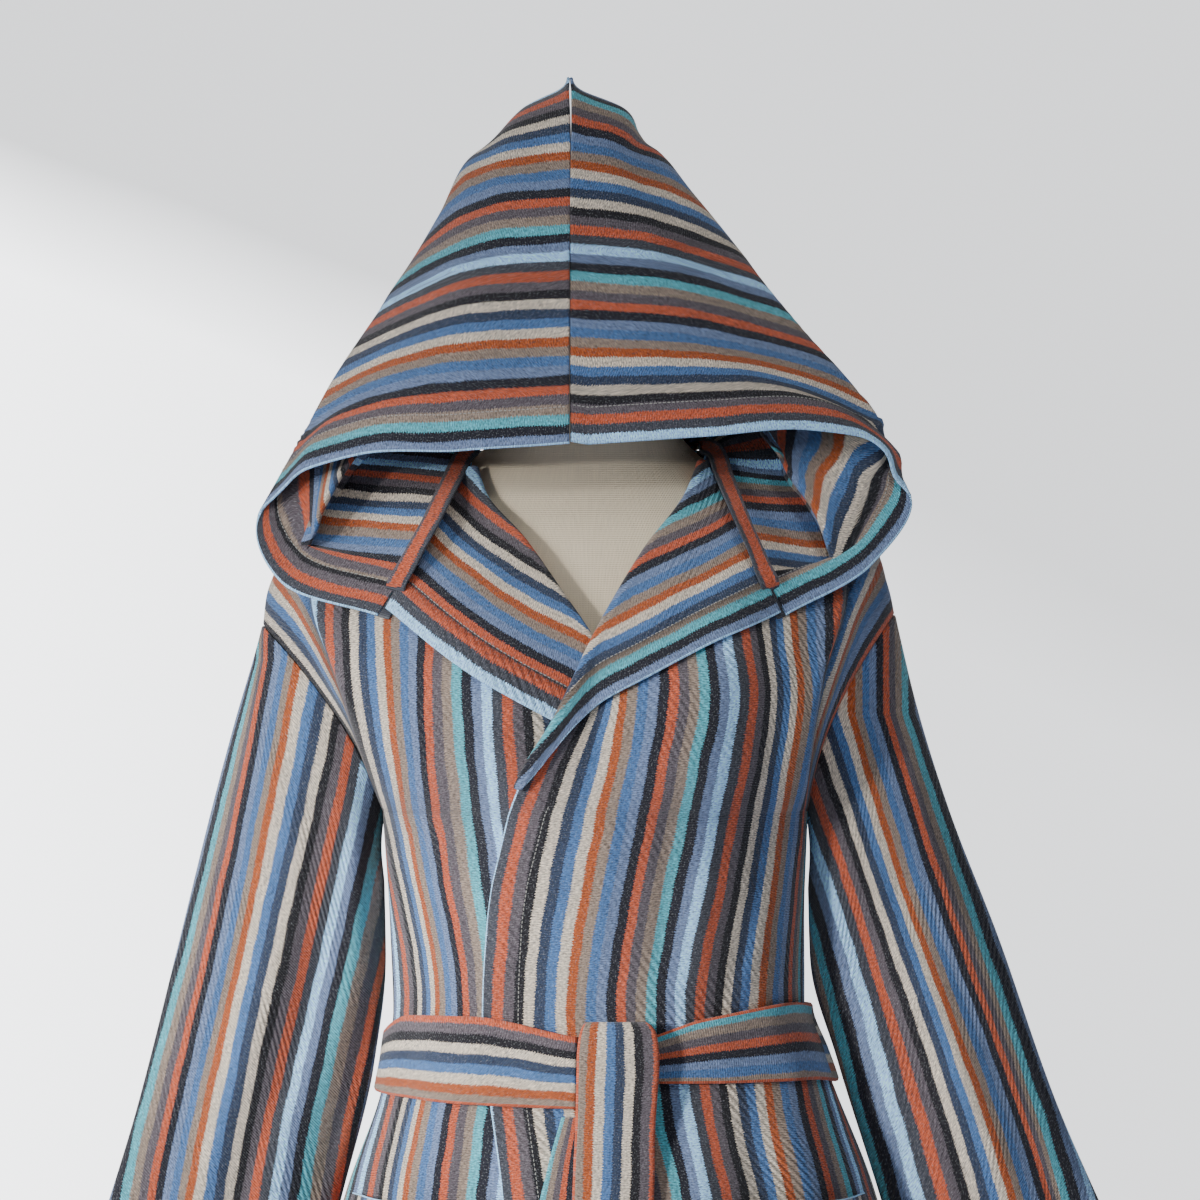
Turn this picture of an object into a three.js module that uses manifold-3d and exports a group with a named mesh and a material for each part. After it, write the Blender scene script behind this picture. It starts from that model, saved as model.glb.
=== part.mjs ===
// A hooded bathrobe of striped towelling on a limbless dress form.
// Millimetres, +Z up. The origin is the centre of the stand's underside, the front faces -Y
// and +X is on the viewer's right, so "left" and "right" below are the viewer's.
import * as THREE from "three";
import { mergeVertices } from "three/addons/utils/BufferGeometryUtils.js";
import Module from "manifold-3d";

const wasm = await Module();
wasm.setup();

// Cloth and seams
const CLOTH = 2.4;
const BELT_CLOTH = 3.6;
const TAPE_CLOTH = 2.0;
const SEAM = 0.22;
const SHOULDER_SEAM = 0.5;
const SEAT = 0.45;
const FACET = 2.2;
const FRONT_SLACK = 1.4 * FACET;
const BACK_SLACK = 2.3 * FACET;
const LAPEL_LIFT = 5.6;
const OVERLAP_LIFT = 3.6;
const CROSSING_LIFT = 7.4;

// Robe
const HEM_Z = 375;
const ARMPIT_Z = 1240;
const ROUNDNESS = 2.2;

// Stand
const BASE_RADIUS = 200;
const BASE_HEIGHT = 16;
const POLE_RADIUS = 15;
const TORSO_FLOOR = 760;
const FORM_TOP = 1600;

// Turns rows of numbers into rows with named columns.
function table(columns, rows) {
  return rows.map((row) => Object.fromEntries(columns.map((name, k) => [name, row[k]])));
}

// The dress form, a general size 38: half-width, and depth to the front and to the back.
const FORM = table(["z", "half", "front", "back"], [
  [760, 156, 102, 98],
  [820, 168, 111, 110],
  [880, 171, 113, 114],
  [960, 150, 102, 101],
  [1060, 122, 88, 80],
  [1150, 130, 100, 84],
  [1250, 143, 119, 92],
  [1330, 160, 112, 97],
  [1400, 177, 92, 92],
  [1440, 183, 77, 82],
  [1456, 178, 71, 77],
  [1472, 153, 65, 71],
  [1488, 121, 60, 65],
  [1504, 85, 57, 59],
  [1530, 65, 55, 56],
  [1600, 57, 54, 52],
]);

// The robe below the armpit, belted at the waist and wide at the hem.
const BODY = table(["z", "left", "right", "front", "back"], [
  [375, 262, 286, 156, 150],
  [640, 236, 264, 146, 140],
  [880, 198, 232, 132, 126],
  [955, 179, 213, 125, 117],
  [1029, 153, 184, 112, 104],
  [1060, 147, 172, 105, 97],
  [1091, 144, 161, 108, 98],
  [1155, 147, 161, 119, 102],
  [1240, 153, 164, 132, 106],
]);

// Depth of the robe's front along the lapels, above the armpit.
const CHEST = table(["z", "depth"], [
  [1240, 132],
  [1310, 131],
  [1365, 121],
  [1403, 107],
  [1440, 88],
  [1474, 64],
  [1494, 36],
  [1509, 1],
]);

// Front edge of each front, from the hem up, and above the crossing its roll line up to the neck.
const OVER_EDGE = table(["z", "x"], [
  [375, -28],
  [955, -62],
  [1092, -77],
  [1155, -74],
  [1195, -69],
  [1240, -58],
  [1275, -44],
  [1309, -23],
  [1365, 5],
  [1432, 44],
  [1474, 75],
  [1509, 88],
]);
const UNDER_EDGE = table(["z", "x"], [
  [375, 58],
  [955, 74],
  [1155, 80],
  [1240, 72],
  [1309, 38],
  [1365, 3],
  [1403, -23],
  [1440, -49],
  [1474, -78],
  [1509, -88],
]);

// Soft vertical folds of the skirt: place round the body in turns from the left side seam
// over the front, height at the hem, and width in turns.
const FOLDS = table(["around", "height", "width"], [
  [0.03, 14, 0.026],
  [0.09, -10, 0.024],
  [0.145, 16, 0.028],
  [0.21, -9, 0.026],
  [0.275, 10, 0.026],
  [0.34, -11, 0.026],
  [0.40, 17, 0.028],
  [0.465, -10, 0.024],
  [0.53, 15, 0.027],
  [0.59, -12, 0.026],
  [0.65, 18, 0.028],
  [0.71, -11, 0.024],
  [0.77, 18, 0.029],
  [0.83, -12, 0.025],
  [0.885, 16, 0.027],
  [0.945, -10, 0.024],
]);

// Shoulder point of the armhole on each side.
const DROP = { left: { x: 243, z: 1378 }, right: { x: 229, z: 1386 } };

// Sleeves: outer and inner edge from the armhole (s = 0) to the cuff (s = 1), and half the depth.
const SLEEVE_LEFT = table(["s", "outerX", "outerZ", "innerX", "innerZ", "depth"], [
  [0.0, 243, 1378, 153, 1240, 44],
  [0.12, 259, 1324, 154, 1196, 42],
  [0.3, 281, 1243, 153, 1130, 39],
  [0.55, 309, 1130, 162, 1048, 36],
  [0.8, 339, 1012, 186, 950, 34],
  [1.0, 372, 905, 208, 868, 33],
]);
const SLEEVE_RIGHT = table(["s", "outerX", "outerZ", "innerX", "innerZ", "depth"], [
  [0.0, 229, 1386, 164, 1240, 44],
  [0.12, 245, 1320, 166, 1192, 44],
  [0.3, 270, 1240, 168, 1128, 42],
  [0.55, 308, 1142, 189, 1050, 40],
  [0.8, 350, 1022, 221, 948, 37],
  [1.0, 398, 912, 246, 862, 35],
]);
const SLEEVE_BACK = 6;
const SLEEVE_WAVE = 3.5;

// The hood half in six rows from its front edge to its back seam. Each row runs from the neck
// seam over the crease on the shoulder and the side to the middle and the top seam. The right
// half has its own width and rise, because the hood hangs a little askew.
const HOOD_ROWS = 6;
const HOOD = {
  neck: table(["left", "right", "y", "z"], [
    [154, 145, -112, 1386],
    [117, 113, -93, 1448],
    [92, 92, -24, 1517],
    [64, 64, 48, 1516],
    [24, 24, 70, 1515],
    [1.6, 1.6, 73, 1515],
  ]),
  crease: table(["left", "right", "y", "z"], [
    [226, 208, -91, 1410],
    [212, 204, -50, 1484],
    [170, 170, 22, 1556],
    [112, 112, 98, 1592],
    [50, 50, 132, 1604],
    [1.6, 1.6, 142, 1606],
  ]),
  side: table(["left", "right", "y", "z"], [
    [240, 235, -72, 1466],
    [189, 190, -42, 1562],
    [138, 138, -20, 1641],
    [90, 84, 4, 1712],
    [62, 60, 62, 1700],
    [1.6, 1.6, 104, 1694],
  ]),
  middle: table(["left", "right", "y", "z"], [
    [122, 126, -112, 1503],
    [98, 98, -98, 1580],
    [76, 76, -76, 1652],
    [56, 54, -50, 1724],
    [36, 34, -8, 1756],
    [1.8, 1.8, 30, 1766],
  ]),
  top: table(["left", "right", "y", "z"], [
    [1.4, 1.4, -125, 1511],
    [1.4, 1.4, -111, 1583],
    [1.4, 1.4, -92, 1655],
    [1.4, 1.4, -70, 1727],
    [1.7, 1.7, -54, 1766],
    [2.0, 2.0, -40, 1786],
  ]),
};
const HOOD_SEAM_X = -13;
const HOOD_RIGHT_RISE = 12;

// Lapel corners on each front: neck end and joint with the hood, hem's lower end and the
// roll line's lower end.
const LAPEL_OVER = {
  neck: [76, 1484],
  joint: [133, 1385],
  hem: [-8, 1312],
  roll: [3, 1362],
};
const LAPEL_UNDER = {
  neck: [-80, 1480],
  joint: [-143, 1388],
  hem: [-14, 1302],
  roll: [8, 1356],
};

// Belt band: place round the waist in turns from the left side seam over the front, and its two
// edges. It runs from right of the knot round the back to left of it.
const BAND = table(["around", "bottom", "top"], [
  [0.289, 1044, 1078],
  [0.33, 1043, 1090],
  [0.42, 1042, 1099],
  [0.5, 1036, 1094],
  [0.62, 1032, 1092],
  [0.76, 1030, 1092],
  [0.9, 1030, 1090],
  [1.0, 1031, 1074],
  [1.08, 1030, 1090],
  [1.16, 1028, 1092],
  [1.244, 1026, 1078],
]);

// The belt's ends: share of the length (s), height, centre across, width and lift from the skirt.
// The upper end first rises over the knot.
const TAIL_OVER = table(["s", "z", "x", "width", "lift"], [
  [0.0, 1060, 21, 38, 3.2],
  [0.04, 1080, 21, 40, 5],
  [0.07, 1088, 21, 46, 12],
  [0.11, 1081, 22, 56, 18],
  [0.17, 1061, 22, 60, 20],
  [0.24, 1036, 21, 59, 17],
  [0.31, 1014, 20, 58, 12],
  [0.40, 980, 19, 59, 7.2],
  [0.7, 800, 12, 60, 7.2],
  [1.0, 640, 8, 61, 7.2],
]);
const TAIL_UNDER = table(["s", "z", "x", "width", "lift"], [
  [0.0, 1020, -6, 26, 2.7],
  [0.1, 985, -12, 34, 2.7],
  [0.25, 930, -16, 50, 2.7],
  [0.5, 820, -22, 58, 2.7],
  [1.0, 600, -28, 60, 2.7],
]);

// Patch pockets: their two sides in turns round the body, size and how far the mouth stands open.
const POCKETS = table(["side", "from", "to", "top", "height", "gape"], [
  ["left", 0.05, 0.185, 957, 168, 14],
  ["right", 0.45, 0.315, 957, 168, 14],
]);

const COLOURS = {
  stripe: 0x6f7f9c,
  tape: 0xb56a4a,
  belt: 0x8796ab,
  linen: 0xcfc5b4,
  wood: 0x9a7a58,
  metal: 0xb8b8b8,
};

const point = (x, y, z) => new THREE.Vector3(x, y, z);
const mix = (a, b, t) => a + (b - a) * t;
const clamp01 = (t) => Math.min(1, Math.max(0, t));
const range = (count) => Array.from({ length: count }, (unused, k) => k);

function smooth(from, to, at) {
  const t = clamp01((at - from) / (to - from));
  return t * t * (3 - 2 * t);
}

// Value of a table's column at a place on its key column, as a monotone cubic.
function read(rows, key, at, column) {
  const last = rows.length - 1;
  const rising = rows[last][key] > rows[0][key] ? 1 : -1;
  let k = 0;
  while (k < last - 1 && (at - rows[k + 1][key]) * rising > 0) {
    k += 1;
  }
  const span = (i) => rows[i + 1][key] - rows[i][key];
  const slope = (i) => (rows[i + 1][column] - rows[i][column]) / span(i);
  const tangent = (i) => {
    if (i === 0) return slope(0);
    if (i === last) return slope(last - 1);
    const product = slope(i - 1) * slope(i);
    return product <= 0 ? 0 : (2 * product) / (slope(i - 1) + slope(i));
  };
  const t = clamp01((at - rows[k][key]) / span(k));
  const a = rows[k][column];
  const b = rows[k + 1][column];
  const startPull = t * (1 - t) * (1 - t) * span(k) * tangent(k);
  const endPull = t * t * (1 - t) * span(k) * tangent(k + 1);
  return a + (b - a) * t * t * (3 - 2 * t) + startPull - endPull;
}

function curveThrough(points) {
  return new THREE.CatmullRomCurve3(points, false, "catmullrom", 0.5);
}

// How far a point lies outside the dress form, and the direction away from it.
function formDistance(p) {
  const level = Math.min(FORM_TOP, Math.max(TORSO_FLOOR, p.z));
  const value = (q) => {
    const z = Math.min(FORM_TOP, Math.max(TORSO_FLOOR, q.z));
    const half = read(FORM, "z", z, "half");
    const depth = read(FORM, "z", z, q.y < 0 ? "front" : "back");
    const sum = Math.abs(q.x / half) ** ROUNDNESS + Math.abs(q.y / depth) ** ROUNDNESS;
    return sum ** (1 / ROUNDNESS) - 1;
  };
  const step = 0.5;
  const slope = point(
    value(point(p.x + step, p.y, level)) - value(point(p.x - step, p.y, level)),
    value(point(p.x, p.y + step, level)) - value(point(p.x, p.y - step, level)),
    value(point(p.x, p.y, level + step)) - value(point(p.x, p.y, level - step)),
  ).divideScalar(2 * step);
  return { distance: value(p) / slope.length(), away: slope.normalize() };
}

// Moves a point out until it clears the dress form.
function offForm(p, clearance) {
  const moved = p.clone();
  if (p.z > FORM_TOP + clearance) return moved;
  for (const unused of range(4)) {
    const { distance, away } = formDistance(moved);
    if (distance < clearance) {
      moved.addScaledVector(away, clearance - distance);
    }
  }
  return moved;
}
const onForm = (p, slack) => offForm(p, CLOTH / 2 + SEAT + slack);

// Unit normals of a grid of points. A closed grid joins its last column to its first.
function normalsOf(grid, closed) {
  const rows = grid.length;
  const columns = grid[0].length;
  return grid.map((row, i) =>
    row.map((unused, j) => {
      const left = closed ? (j + columns - 1) % columns : Math.max(0, j - 1);
      const right = closed ? (j + 1) % columns : Math.min(columns - 1, j + 1);
      const across = grid[i][right].clone().sub(grid[i][left]);
      const along = grid[Math.min(rows - 1, i + 1)][j].clone().sub(grid[Math.max(0, i - 1)][j]);
      return across.cross(along).normalize();
    }),
  );
}

// A geometry from points and triangles, with its faces turned outwards.
function solidFrom(points, triangles) {
  let volume = 0;
  for (const [a, b, c] of triangles) {
    volume += points[a].dot(points[b].clone().cross(points[c]));
  }
  const facing = volume < 0 ? triangles.map(([a, b, c]) => [a, c, b]) : triangles;
  const geometry = new THREE.BufferGeometry();
  const flat = points.flatMap((p) => [p.x, p.y, p.z]);
  geometry.setAttribute("position", new THREE.Float32BufferAttribute(flat, 3));
  geometry.setIndex(facing.flat());
  geometry.computeVertexNormals();
  return geometry;
}

// A cloth wall about a grid of points, with an even thickness or one worked out by column.
function wall(grid, thickness, closed = false) {
  const rows = grid.length;
  const columns = grid[0].length;
  const normals = normalsOf(grid, closed);
  const thick = (j) => (typeof thickness === "function" ? thickness(j) : thickness);
  const points = [];
  for (const side of [1, -1]) {
    grid.forEach((row, i) =>
      row.forEach((p, j) => {
        const out = (side * thick(j)) / 2;
        points.push(p.clone().addScaledVector(normals[i][j], out));
      }),
    );
  }
  const at = (layer, i, j) => layer * rows * columns + i * columns + (j % columns);
  const triangles = [];
  const quad = (a, b, c, d) => triangles.push([a, b, c], [a, c, d]);
  const spans = closed ? columns : columns - 1;
  for (const i of range(rows - 1)) {
    for (const j of range(spans)) {
      quad(at(0, i, j), at(0, i, j + 1), at(0, i + 1, j + 1), at(0, i + 1, j));
      quad(at(1, i, j), at(1, i + 1, j), at(1, i + 1, j + 1), at(1, i, j + 1));
    }
  }
  for (const j of range(spans)) {
    quad(at(0, 0, j), at(1, 0, j), at(1, 0, j + 1), at(0, 0, j + 1));
    quad(at(0, rows - 1, j), at(0, rows - 1, j + 1), at(1, rows - 1, j + 1), at(1, rows - 1, j));
  }
  if (!closed) {
    const end = columns - 1;
    for (const i of range(rows - 1)) {
      quad(at(0, i, 0), at(0, i + 1, 0), at(1, i + 1, 0), at(1, i, 0));
      quad(at(0, i, end), at(1, i, end), at(1, i + 1, end), at(0, i + 1, end));
    }
  }
  return solidFrom(points, triangles);
}

// Two closed geometries joined into one body.
function join(first, second) {
  const solid = (geometry) => {
    const bare = geometry.clone();
    bare.deleteAttribute("normal");
    const merged = mergeVertices(bare, 1e-4);
    return new wasm.Manifold(
      new wasm.Mesh({
        numProp: 3,
        vertProperties: new Float32Array(merged.attributes.position.array),
        triVerts: new Uint32Array(merged.index.array),
      }),
    );
  };
  const mesh = solid(first).add(solid(second)).getMesh();
  const geometry = new THREE.BufferGeometry();
  geometry.setAttribute("position", new THREE.Float32BufferAttribute(mesh.vertProperties, 3));
  geometry.setIndex(Array.from(mesh.triVerts));
  geometry.computeVertexNormals();
  return geometry;
}

// Height of the folds: none above the waist, all of it at the hem.
function foldHeight(around, z) {
  const growth = 0.12 * smooth(1200, 1110, z) + 0.88 * smooth(1020, HEM_Z, z);
  let height = 0;
  for (const fold of FOLDS) {
    const away = Math.abs(around - fold.around);
    const gap = Math.min(away, 1 - away) / fold.width;
    height += fold.height * Math.exp(-gap * gap);
  }
  return height * growth;
}

// A point of the robe below the armpit, and the way out of it there.
function bodyPoint(around, z, out = 0) {
  const angle = around * 2 * Math.PI;
  const c = Math.cos(angle);
  const s = Math.sin(angle);
  const half = read(BODY, "z", z, c > 0 ? "left" : "right");
  const depth = read(BODY, "z", z, s > 0 ? "front" : "back");
  const x = -half * Math.sign(c) * Math.abs(c) ** (2 / ROUNDNESS);
  const y = -depth * Math.sign(s) * Math.abs(s) ** (2 / ROUNDNESS);
  const away = point(x / (half * half), y / (depth * depth), 0).normalize();
  return point(x, y, z).addScaledVector(away, foldHeight(around, z) + out);
}

// Place round the body of a point on the front at x.
function aroundOf(z, x) {
  const half = read(BODY, "z", z, x < 0 ? "left" : "right");
  const c = -Math.sign(x) * (Math.abs(x) / half) ** (ROUNDNESS / 2);
  return Math.acos(c) / (2 * Math.PI);
}

// The armhole's oval: turn 0 at the armpit, 0.25 in front, 0.5 at the shoulder, 0.75 behind.
const ARMHOLE_DEPTH = 44;
const ARMHOLE_CURVE = 13;
function armhole(side, turn, outward) {
  const sign = side === "left" ? -1 : 1;
  const armpit = point(sign * read(BODY, "z", ARMPIT_Z, side), 0, ARMPIT_Z);
  const shoulder = point(sign * DROP[side].x, 0, DROP[side].z);
  const angle = turn * 2 * Math.PI;
  const along = (1 - Math.cos(angle)) / 2;
  const p = armpit.clone().lerp(shoulder, along);
  p.y = -Math.sin(angle) * ARMHOLE_DEPTH;
  p.x -= sign * ARMHOLE_CURVE * Math.sin(angle) ** 2;
  const out = point(-(shoulder.z - armpit.z), 0, shoulder.x - armpit.x);
  out.multiplyScalar(-1).normalize();
  if (out.x * sign < 0) {
    out.negate();
  }
  return p.addScaledVector(out, outward);
}

// The shoulder seam from the neck (0) to the armhole (1).
function shoulderSeam(side, at) {
  const sign = side === "left" ? -1 : 1;
  const drop = DROP[side];
  const seam = curveThrough([
    point(sign * 88, 0, 1509),
    point(sign * 130, 0, 1488),
    point(sign * 172, 0, 1466),
    point(sign * mix(190, drop.x, 0.55), 0, 1440),
    point(sign * (drop.x - 5), 0, 1408),
    point(sign * drop.x, 0, drop.z),
  ]);
  return seam.getPointAt(at);
}

// A patch between its four edges. Each edge is a function of 0 to 1.
function patch(bottom, top, start, end, across, up) {
  const p = start(up).lerp(end(up), across);
  const lowBase = start(0).lerp(end(0), across);
  const highBase = start(1).lerp(end(1), across);
  p.addScaledVector(bottom(across).sub(lowBase), 1 - up);
  p.addScaledVector(top(across).sub(highBase), up);
  return p;
}

// Rows above the armpit lie closer towards the shoulder, where the cloth turns over it.
const chestRow = (i) => 1 - (1 - i / (CHEST_ROWS - 1)) ** 1.5;

const FRONTS = {
  under: { side: "left", edge: UNDER_EDGE, sideAround: 0, lapel: LAPEL_UNDER },
  over: { side: "right", edge: OVER_EDGE, sideAround: 0.5, lapel: LAPEL_OVER },
};
const OPEN_CELLS = 8;
const SHARED_CELLS = 5;
const FRONT_COLUMNS = OPEN_CELLS + SHARED_CELLS + 1;
const LEVELS = [375, 445, 515, 585, 655, 725, 795, 860, 920, 975, 1026, 1060, 1094, 1140, 1190];
const SKIRT_ROWS = LEVELS.length;
const CHEST_ROWS = 11;

// The deep fold between the chest and the dropped shoulder: its place across the front at the
// armpit and at the shoulder, and the step from the shoulder up to the chest.
const CHEST_FOLD = { low: 0.04, high: 0.2, width: 0.14, step: 20, fade: 0.6, fullness: 0.6 };

// How far the over front lies outside the under front: all of it over the lap, nothing past the
// lap's end, and more where it crosses the lower lapel.
const OVERLAP_FULL = { x: 96, z: 1400 };
const OVERLAP_END = { x: 146, z: 1480 };
const LAPEL_CROSSING = { z: 1318, height: 62 };
function overlapLift(name, p) {
  if (name === "under") return 0;
  const crossing = Math.exp(-(((p.z - LAPEL_CROSSING.z) / LAPEL_CROSSING.height) ** 2));
  const reach = smooth(OVERLAP_END.x, OVERLAP_FULL.x, p.x) * smooth(OVERLAP_END.z, OVERLAP_FULL.z, p.z);
  return reach * (OVERLAP_LIFT + CROSSING_LIFT * crossing);
}

// Place round the body of a front's column. Where the fronts overlap they share their columns.
function columnAround(name, j, z) {
  const { edge, sideAround } = FRONTS[name];
  const other = FRONTS[name === "over" ? "under" : "over"].edge;
  const own = aroundOf(z, read(edge, "z", z, "x"));
  const shared = aroundOf(z, read(other, "z", z, "x"));
  if (j <= OPEN_CELLS) return mix(sideAround, shared, j / OPEN_CELLS);
  return mix(shared, own, (j - OPEN_CELLS) / SHARED_CELLS);
}

function lowerFront(name, j, z) {
  const p = bodyPoint(columnAround(name, j, z), z);
  p.y -= overlapLift(name, p);
  return p;
}

function upperFront(name, across, up, below) {
  const { side, sideAround, edge } = FRONTS[name];
  const neckZ = CHEST[CHEST.length - 1].z;
  const edgeAround = aroundOf(ARMPIT_Z, read(edge, "z", ARMPIT_Z, "x"));
  const bottom = (t) => bodyPoint(mix(sideAround, edgeAround, t), ARMPIT_Z);
  const top = (t) => shoulderSeam(side, 1 - t);
  const start = (t) => armhole(side, t / 2, 0);
  const end = (t) => {
    const z = mix(ARMPIT_Z, neckZ, t);
    return point(read(edge, "z", z, "x"), -read(CHEST, "z", z, "depth"), z);
  };
  const p = patch(bottom, top, start, end, across, up);
  const foldAt = mix(CHEST_FOLD.low, CHEST_FOLD.high, smooth(0.35, 1, up));
  const rise = Math.sin(Math.PI * up) ** CHEST_FOLD.fullness;
  const chest = smooth(foldAt, foldAt + CHEST_FOLD.width, across) * smooth(1, CHEST_FOLD.fade, across);
  p.y -= CHEST_FOLD.step * chest * rise;
  p.y -= overlapLift(name, p);
  const hit = below ? findOn(below, p.x, p.z) : null;
  if (hit && hit.miss < NEAR_MISS) {
    const clear = mix(OVERLAP_LIFT, LAPEL_LIFT + OVERLAP_LIFT, smooth(1256, 1290, p.z)) + FACET / 2;
    p.y = Math.min(p.y, hit.point.y - clear);
  }
  return onForm(p, FRONT_SLACK);
}

// Rows of a front from the hem to the shoulder seam. The over front rests on the one below.
function frontGrid(name, below = null) {
  const { side, sideAround } = FRONTS[name];
  const sign = side === "left" ? -1 : 1;
  const rows = LEVELS.map((z) => {
    return range(FRONT_COLUMNS).map((j) => lowerFront(name, j, z));
  });
  const last = columnAround(name, FRONT_COLUMNS - 1, ARMPIT_Z);
  const share = (j) => (columnAround(name, j, ARMPIT_Z) - sideAround) / (last - sideAround);
  for (const i of range(CHEST_ROWS)) {
    const up = chestRow(i);
    rows.push(range(FRONT_COLUMNS).map((j) => upperFront(name, share(j), up, below)));
  }
  rows.forEach((row, i) => {
    row[0].y -= SEAM;
    if (i > SKIRT_ROWS) row[0].x -= sign * SEAM;
  });
  rows[rows.length - 1].forEach((p) => {
    p.y -= SHOULDER_SEAM;
  });
  return rows;
}

// Finds the place of x and z on a front's grid, and the way out there.
const NEAR_MISS = 0.1;
const FIRST_DRAPED_ROW = 8;
function findOn(grid, x, z) {
  const normals = normalsOf(grid, false);
  let best = null;
  for (let i = FIRST_DRAPED_ROW; i < grid.length - 1; i += 1) {
    for (let j = 0; j < grid[0].length - 1; j += 1) {
      const cells = [
        [[i, j], [i, j + 1], [i + 1, j + 1]],
        [[i, j], [i + 1, j + 1], [i + 1, j]],
      ];
      for (const cell of cells) {
        const [a, b, c] = cell.map(([r, k]) => grid[r][k]);
        const area = (b.x - a.x) * (c.z - a.z) - (c.x - a.x) * (b.z - a.z);
        const u = ((x - a.x) * (c.z - a.z) - (c.x - a.x) * (z - a.z)) / area;
        const v = ((b.x - a.x) * (z - a.z) - (x - a.x) * (b.z - a.z)) / area;
        const miss = Math.max(0, -u) + Math.max(0, -v) + Math.max(0, u + v - 1);
        if (!best || miss < best.miss) {
          best = { miss, cell, weights: [1 - u - v, u, v] };
        }
      }
    }
  }
  const p = point(0, 0, 0);
  const normal = point(0, 0, 0);
  best.cell.forEach(([r, k], n) => {
    p.addScaledVector(grid[r][k], best.weights[n]);
    normal.addScaledVector(normals[r][k], best.weights[n]);
  });
  normal.normalize();
  if (normal.y > 0) normal.negate();
  return { point: p, normal, miss: best.miss };
}

// A point moved out from a front's grid.
function drape(grid, x, z, lift) {
  const hit = findOn(grid, x, z);
  return hit.point.addScaledVector(hit.normal, lift);
}

// The lapel lies on its front and turns into it round the roll line.
const LAPEL_ROWS = 10;
const LAPEL_COLUMNS = 6;
const TURN_STEPS = 4;
const ROLL_INSET = 3;
const HEM_BOW = 7;
const ROOT = 0.5;
function lapelGrid(name, grid) {
  const { lapel, edge } = FRONTS[name];
  const inwards = name === "over" ? -1 : 1;
  return range(LAPEL_ROWS).map((i) => {
    const down = i / (LAPEL_ROWS - 1);
    const z = mix(lapel.neck[1], lapel.roll[1], down);
    const rollX = read(edge, "z", z, "x");
    const hemX = mix(lapel.joint[0], lapel.hem[0], down);
    const hemZ = mix(lapel.joint[1], lapel.hem[1], down) - HEM_BOW * Math.sin(Math.PI * down);
    const foldX = rollX - inwards * ROLL_INSET;
    const row = [];
    for (const j of range(LAPEL_COLUMNS)) {
      const out = 1 - j / (LAPEL_COLUMNS - 1);
      row.push(drape(grid, mix(foldX, hemX, out), mix(z, hemZ, out), LAPEL_LIFT));
    }
    const base = drape(grid, foldX, z, 0);
    const rise = row[row.length - 1].clone().sub(base).normalize();
    const inner = point(inwards, 0, 0);
    inner.addScaledVector(rise, -inner.dot(rise)).normalize();
    for (const k of range(TURN_STEPS)) {
      const angle = (Math.PI * (k + 1)) / TURN_STEPS;
      const p = base.clone().addScaledVector(rise, (LAPEL_LIFT / 2) * (1 + Math.cos(angle)));
      row.push(p.addScaledVector(inner, ROLL_INSET + (LAPEL_LIFT / 2) * Math.sin(angle)));
    }
    row.push(base.clone().addScaledVector(inner, -ROOT));
    return row;
  });
}

function makeFront(name, grid) {
  const embedded = LAPEL_COLUMNS + TURN_STEPS;
  const lapelThick = (j) => (j >= embedded ? CLOTH / 2 : CLOTH);
  const panel = wall(grid, CLOTH);
  return join(panel, wall(lapelGrid(name, grid), lapelThick));
}

// The back from side seam to side seam and up to the shoulder seams and the neck.
const BACK_COLUMNS = 23;
const SHOULDER_SHARE = 0.33;
const BACK_FULLNESS = 22;
function backGrid() {
  const across = (j) => j / (BACK_COLUMNS - 1);
  const rows = LEVELS.map((z) => {
    return range(BACK_COLUMNS).map((j) => bodyPoint(mix(1, 0.5, across(j)), z));
  });
  const bottom = (t) => bodyPoint(mix(1, 0.5, t), ARMPIT_Z);
  const neck = curveThrough([
    point(-88, 0, 1509),
    point(-74, 42, 1510),
    point(0, 71, 1511),
    point(74, 42, 1510),
    point(88, 0, 1509),
  ]);
  const top = (t) => {
    if (t < SHOULDER_SHARE) return shoulderSeam("left", 1 - t / SHOULDER_SHARE);
    if (t > 1 - SHOULDER_SHARE) return shoulderSeam("right", 1 - (1 - t) / SHOULDER_SHARE);
    return neck.getPointAt((t - SHOULDER_SHARE) / (1 - 2 * SHOULDER_SHARE));
  };
  const start = (t) => armhole("left", 1 - t / 2, 0);
  const end = (t) => armhole("right", 1 - t / 2, 0);
  for (const i of range(CHEST_ROWS)) {
    const up = chestRow(i);
    rows.push(
      range(BACK_COLUMNS).map((j) => {
        const p = patch(bottom, top, start, end, across(j), up);
        const bulge = Math.sin(Math.PI * up) * Math.sin(Math.PI * across(j)) ** 0.7;
        p.y -= BACK_FULLNESS * bulge;
        return onForm(p, BACK_SLACK);
      }),
    );
  }
  rows.forEach((row, i) => {
    const last = row.length - 1;
    row[0].y += SEAM;
    row[last].y += SEAM;
    if (i > SKIRT_ROWS) {
      row[0].x += SEAM;
      row[last].x -= SEAM;
    }
  });
  rows[rows.length - 1].forEach((p) => {
    p.y += SHOULDER_SEAM;
  });
  return rows;
}

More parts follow.
